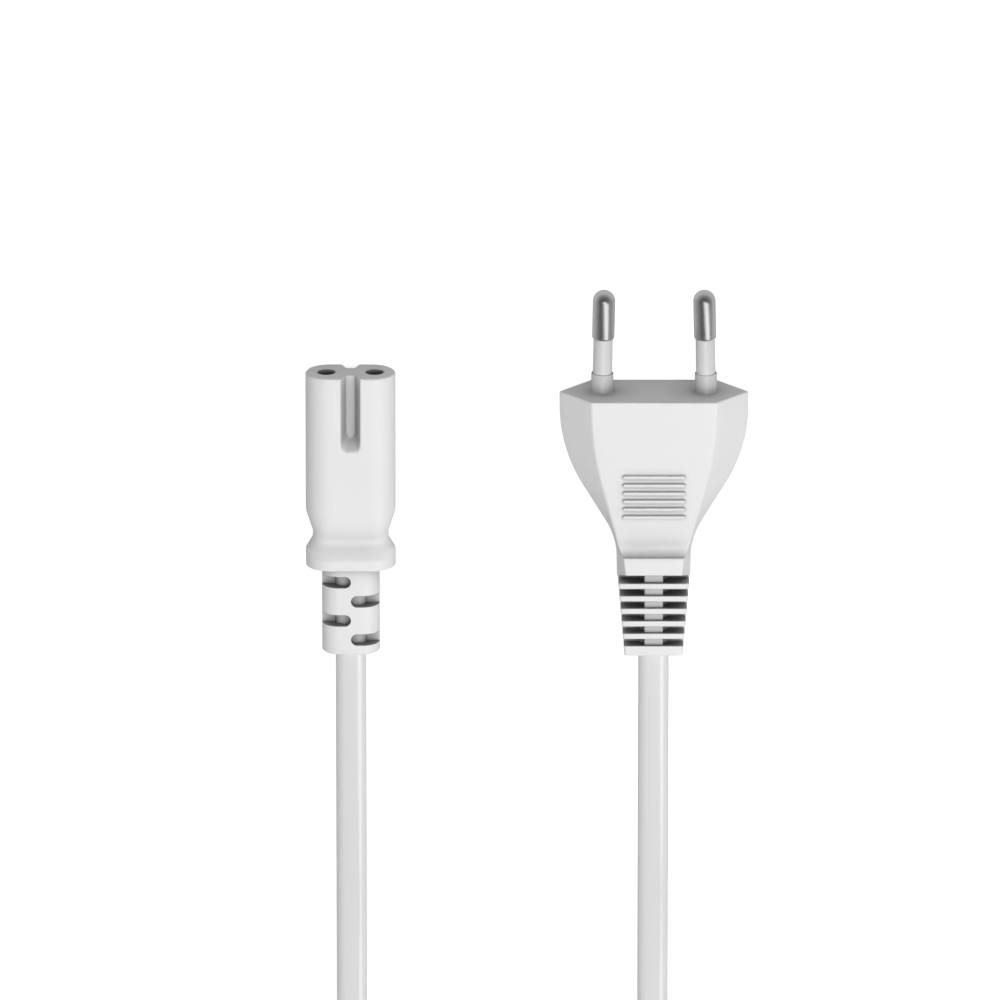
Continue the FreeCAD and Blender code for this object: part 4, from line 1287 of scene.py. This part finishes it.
def panel(name, radiance, size, place):
    """A flat lamp that shines on the object from this side, with a power that gives its face this
    radiance: pi times its area times the radiance."""
    data = bpy.data.lights.new(name, "AREA")
    data.shape = "RECTANGLE"
    data.size, data.size_y = size
    data.energy = math.pi * size[0] * size[1] * radiance
    lamp = bpy.data.objects.new(name, data)
    lamp.location = aim_point + Vector(place)
    lamp.rotation_euler = Vector(place).to_track_quat("Z", "Y").to_euler()
    bpy.context.scene.collection.objects.link(lamp)
    return lamp


overhead = panel("overhead", OVERHEAD_RADIANCE, OVERHEAD_SIZE, OVERHEAD_PLACE)
overhead.visible_glossy = False
strip_lamp = panel("strip", STRIP_RADIANCE, STRIP_SIZE, STRIP_PLACE)
print("lamps: %.1f W and %.1f W" % (overhead.data.energy, strip_lamp.data.energy))

# %% [markdown]
# ## Floor
#
# The floor is white to the camera. In reflections it is paler than the paper alone, so that the pins
# show a bright rim, and where it throws light back up it is a mid grey, so that the object keeps its
# shading and its contact shadow. More lamps would whiten it too, but would wash out the object. The
# Light Path node tells the three kinds of ray apart instead.

# %% Floor
FLOOR_TONE = 0.5
FLOOR_WHITE = 0.85
FLOOR_GLINT = 0.25
FLOOR_SIZE = 3.0

square = np.array([(-1, -1, 0), (1, -1, 0), (1, 1, 0), (-1, 1, 0)])
floor_mesh = bpy.data.meshes.new("floor")
floor_points = square * FLOOR_SIZE / 2 + np.array(aim_point)
floor_mesh.from_pydata(floor_points.tolist(), [], [(0, 1, 2, 3)])
floor = bpy.data.objects.new("floor", floor_mesh)
bpy.context.scene.collection.objects.link(floor)
floor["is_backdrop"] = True

build = new_finish("floor")
paper = build.node("ShaderNodeBsdfDiffuse", None, {"Color": grey(FLOOR_TONE)})
in_view, mirrored, through = [build.node("ShaderNodeLightPath", out="Is %s Ray" % kind)
                              for kind in ("Camera", "Glossy", "Transmission")]
strength = FLOOR_WHITE * in_view + FLOOR_GLINT * (mirrored + through)
white = build.node("ShaderNodeEmission", None, {"Color": grey(1), "Strength": strength})
both = build.node("ShaderNodeAddShader", None, {0: paper, 1: white})
build.node("ShaderNodeOutputMaterial", None, {"Surface": both})
floor_mesh.materials.append(finishes["floor"])
print("floor: %.0f m square" % FLOOR_SIZE)

# %% [markdown]
# ## Room
#
# The room is mid-grey all round and falls to black overhead, as in a studio whose ceiling is dark.
# Upright faces get some light from it, and the pins a dark band beside their bright line. A picture of
# a studio could do that, but a formula of height needs no file.

# %% Room
ROOM_AROUND = 0.53

world = bpy.data.worlds.new("room")
bpy.context.scene.world = world
world.use_nodes = True
world.node_tree.nodes.clear()
build = Signal(world.node_tree)
direction = build.node("ShaderNodeTexCoord", out="Generated")
upward = build.node("ShaderNodeSeparateXYZ", None, {"Vector": direction}, out="Z")
strength = ROOM_AROUND - ROOM_AROUND * build.math("MAXIMUM", upward, 0.0)
room = build.node("ShaderNodeBackground", None, {"Color": grey(1), "Strength": strength})
build.node("ShaderNodeOutputWorld", None, {"Surface": room})
bpy.context.scene.view_settings.view_transform = "Standard"
print("room: %.2f at the horizon, black overhead" % ROOM_AROUND)

# %% [markdown]
# ## Size of the dressed lead
#
# A dressed part keeps the CAD part's size. The box of the dressed lead is printed.

# %% Size of the dressed lead
low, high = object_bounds()
print("dressed box, mm:", [round((b - a) / MM, 1) for a, b in zip(low, high)])
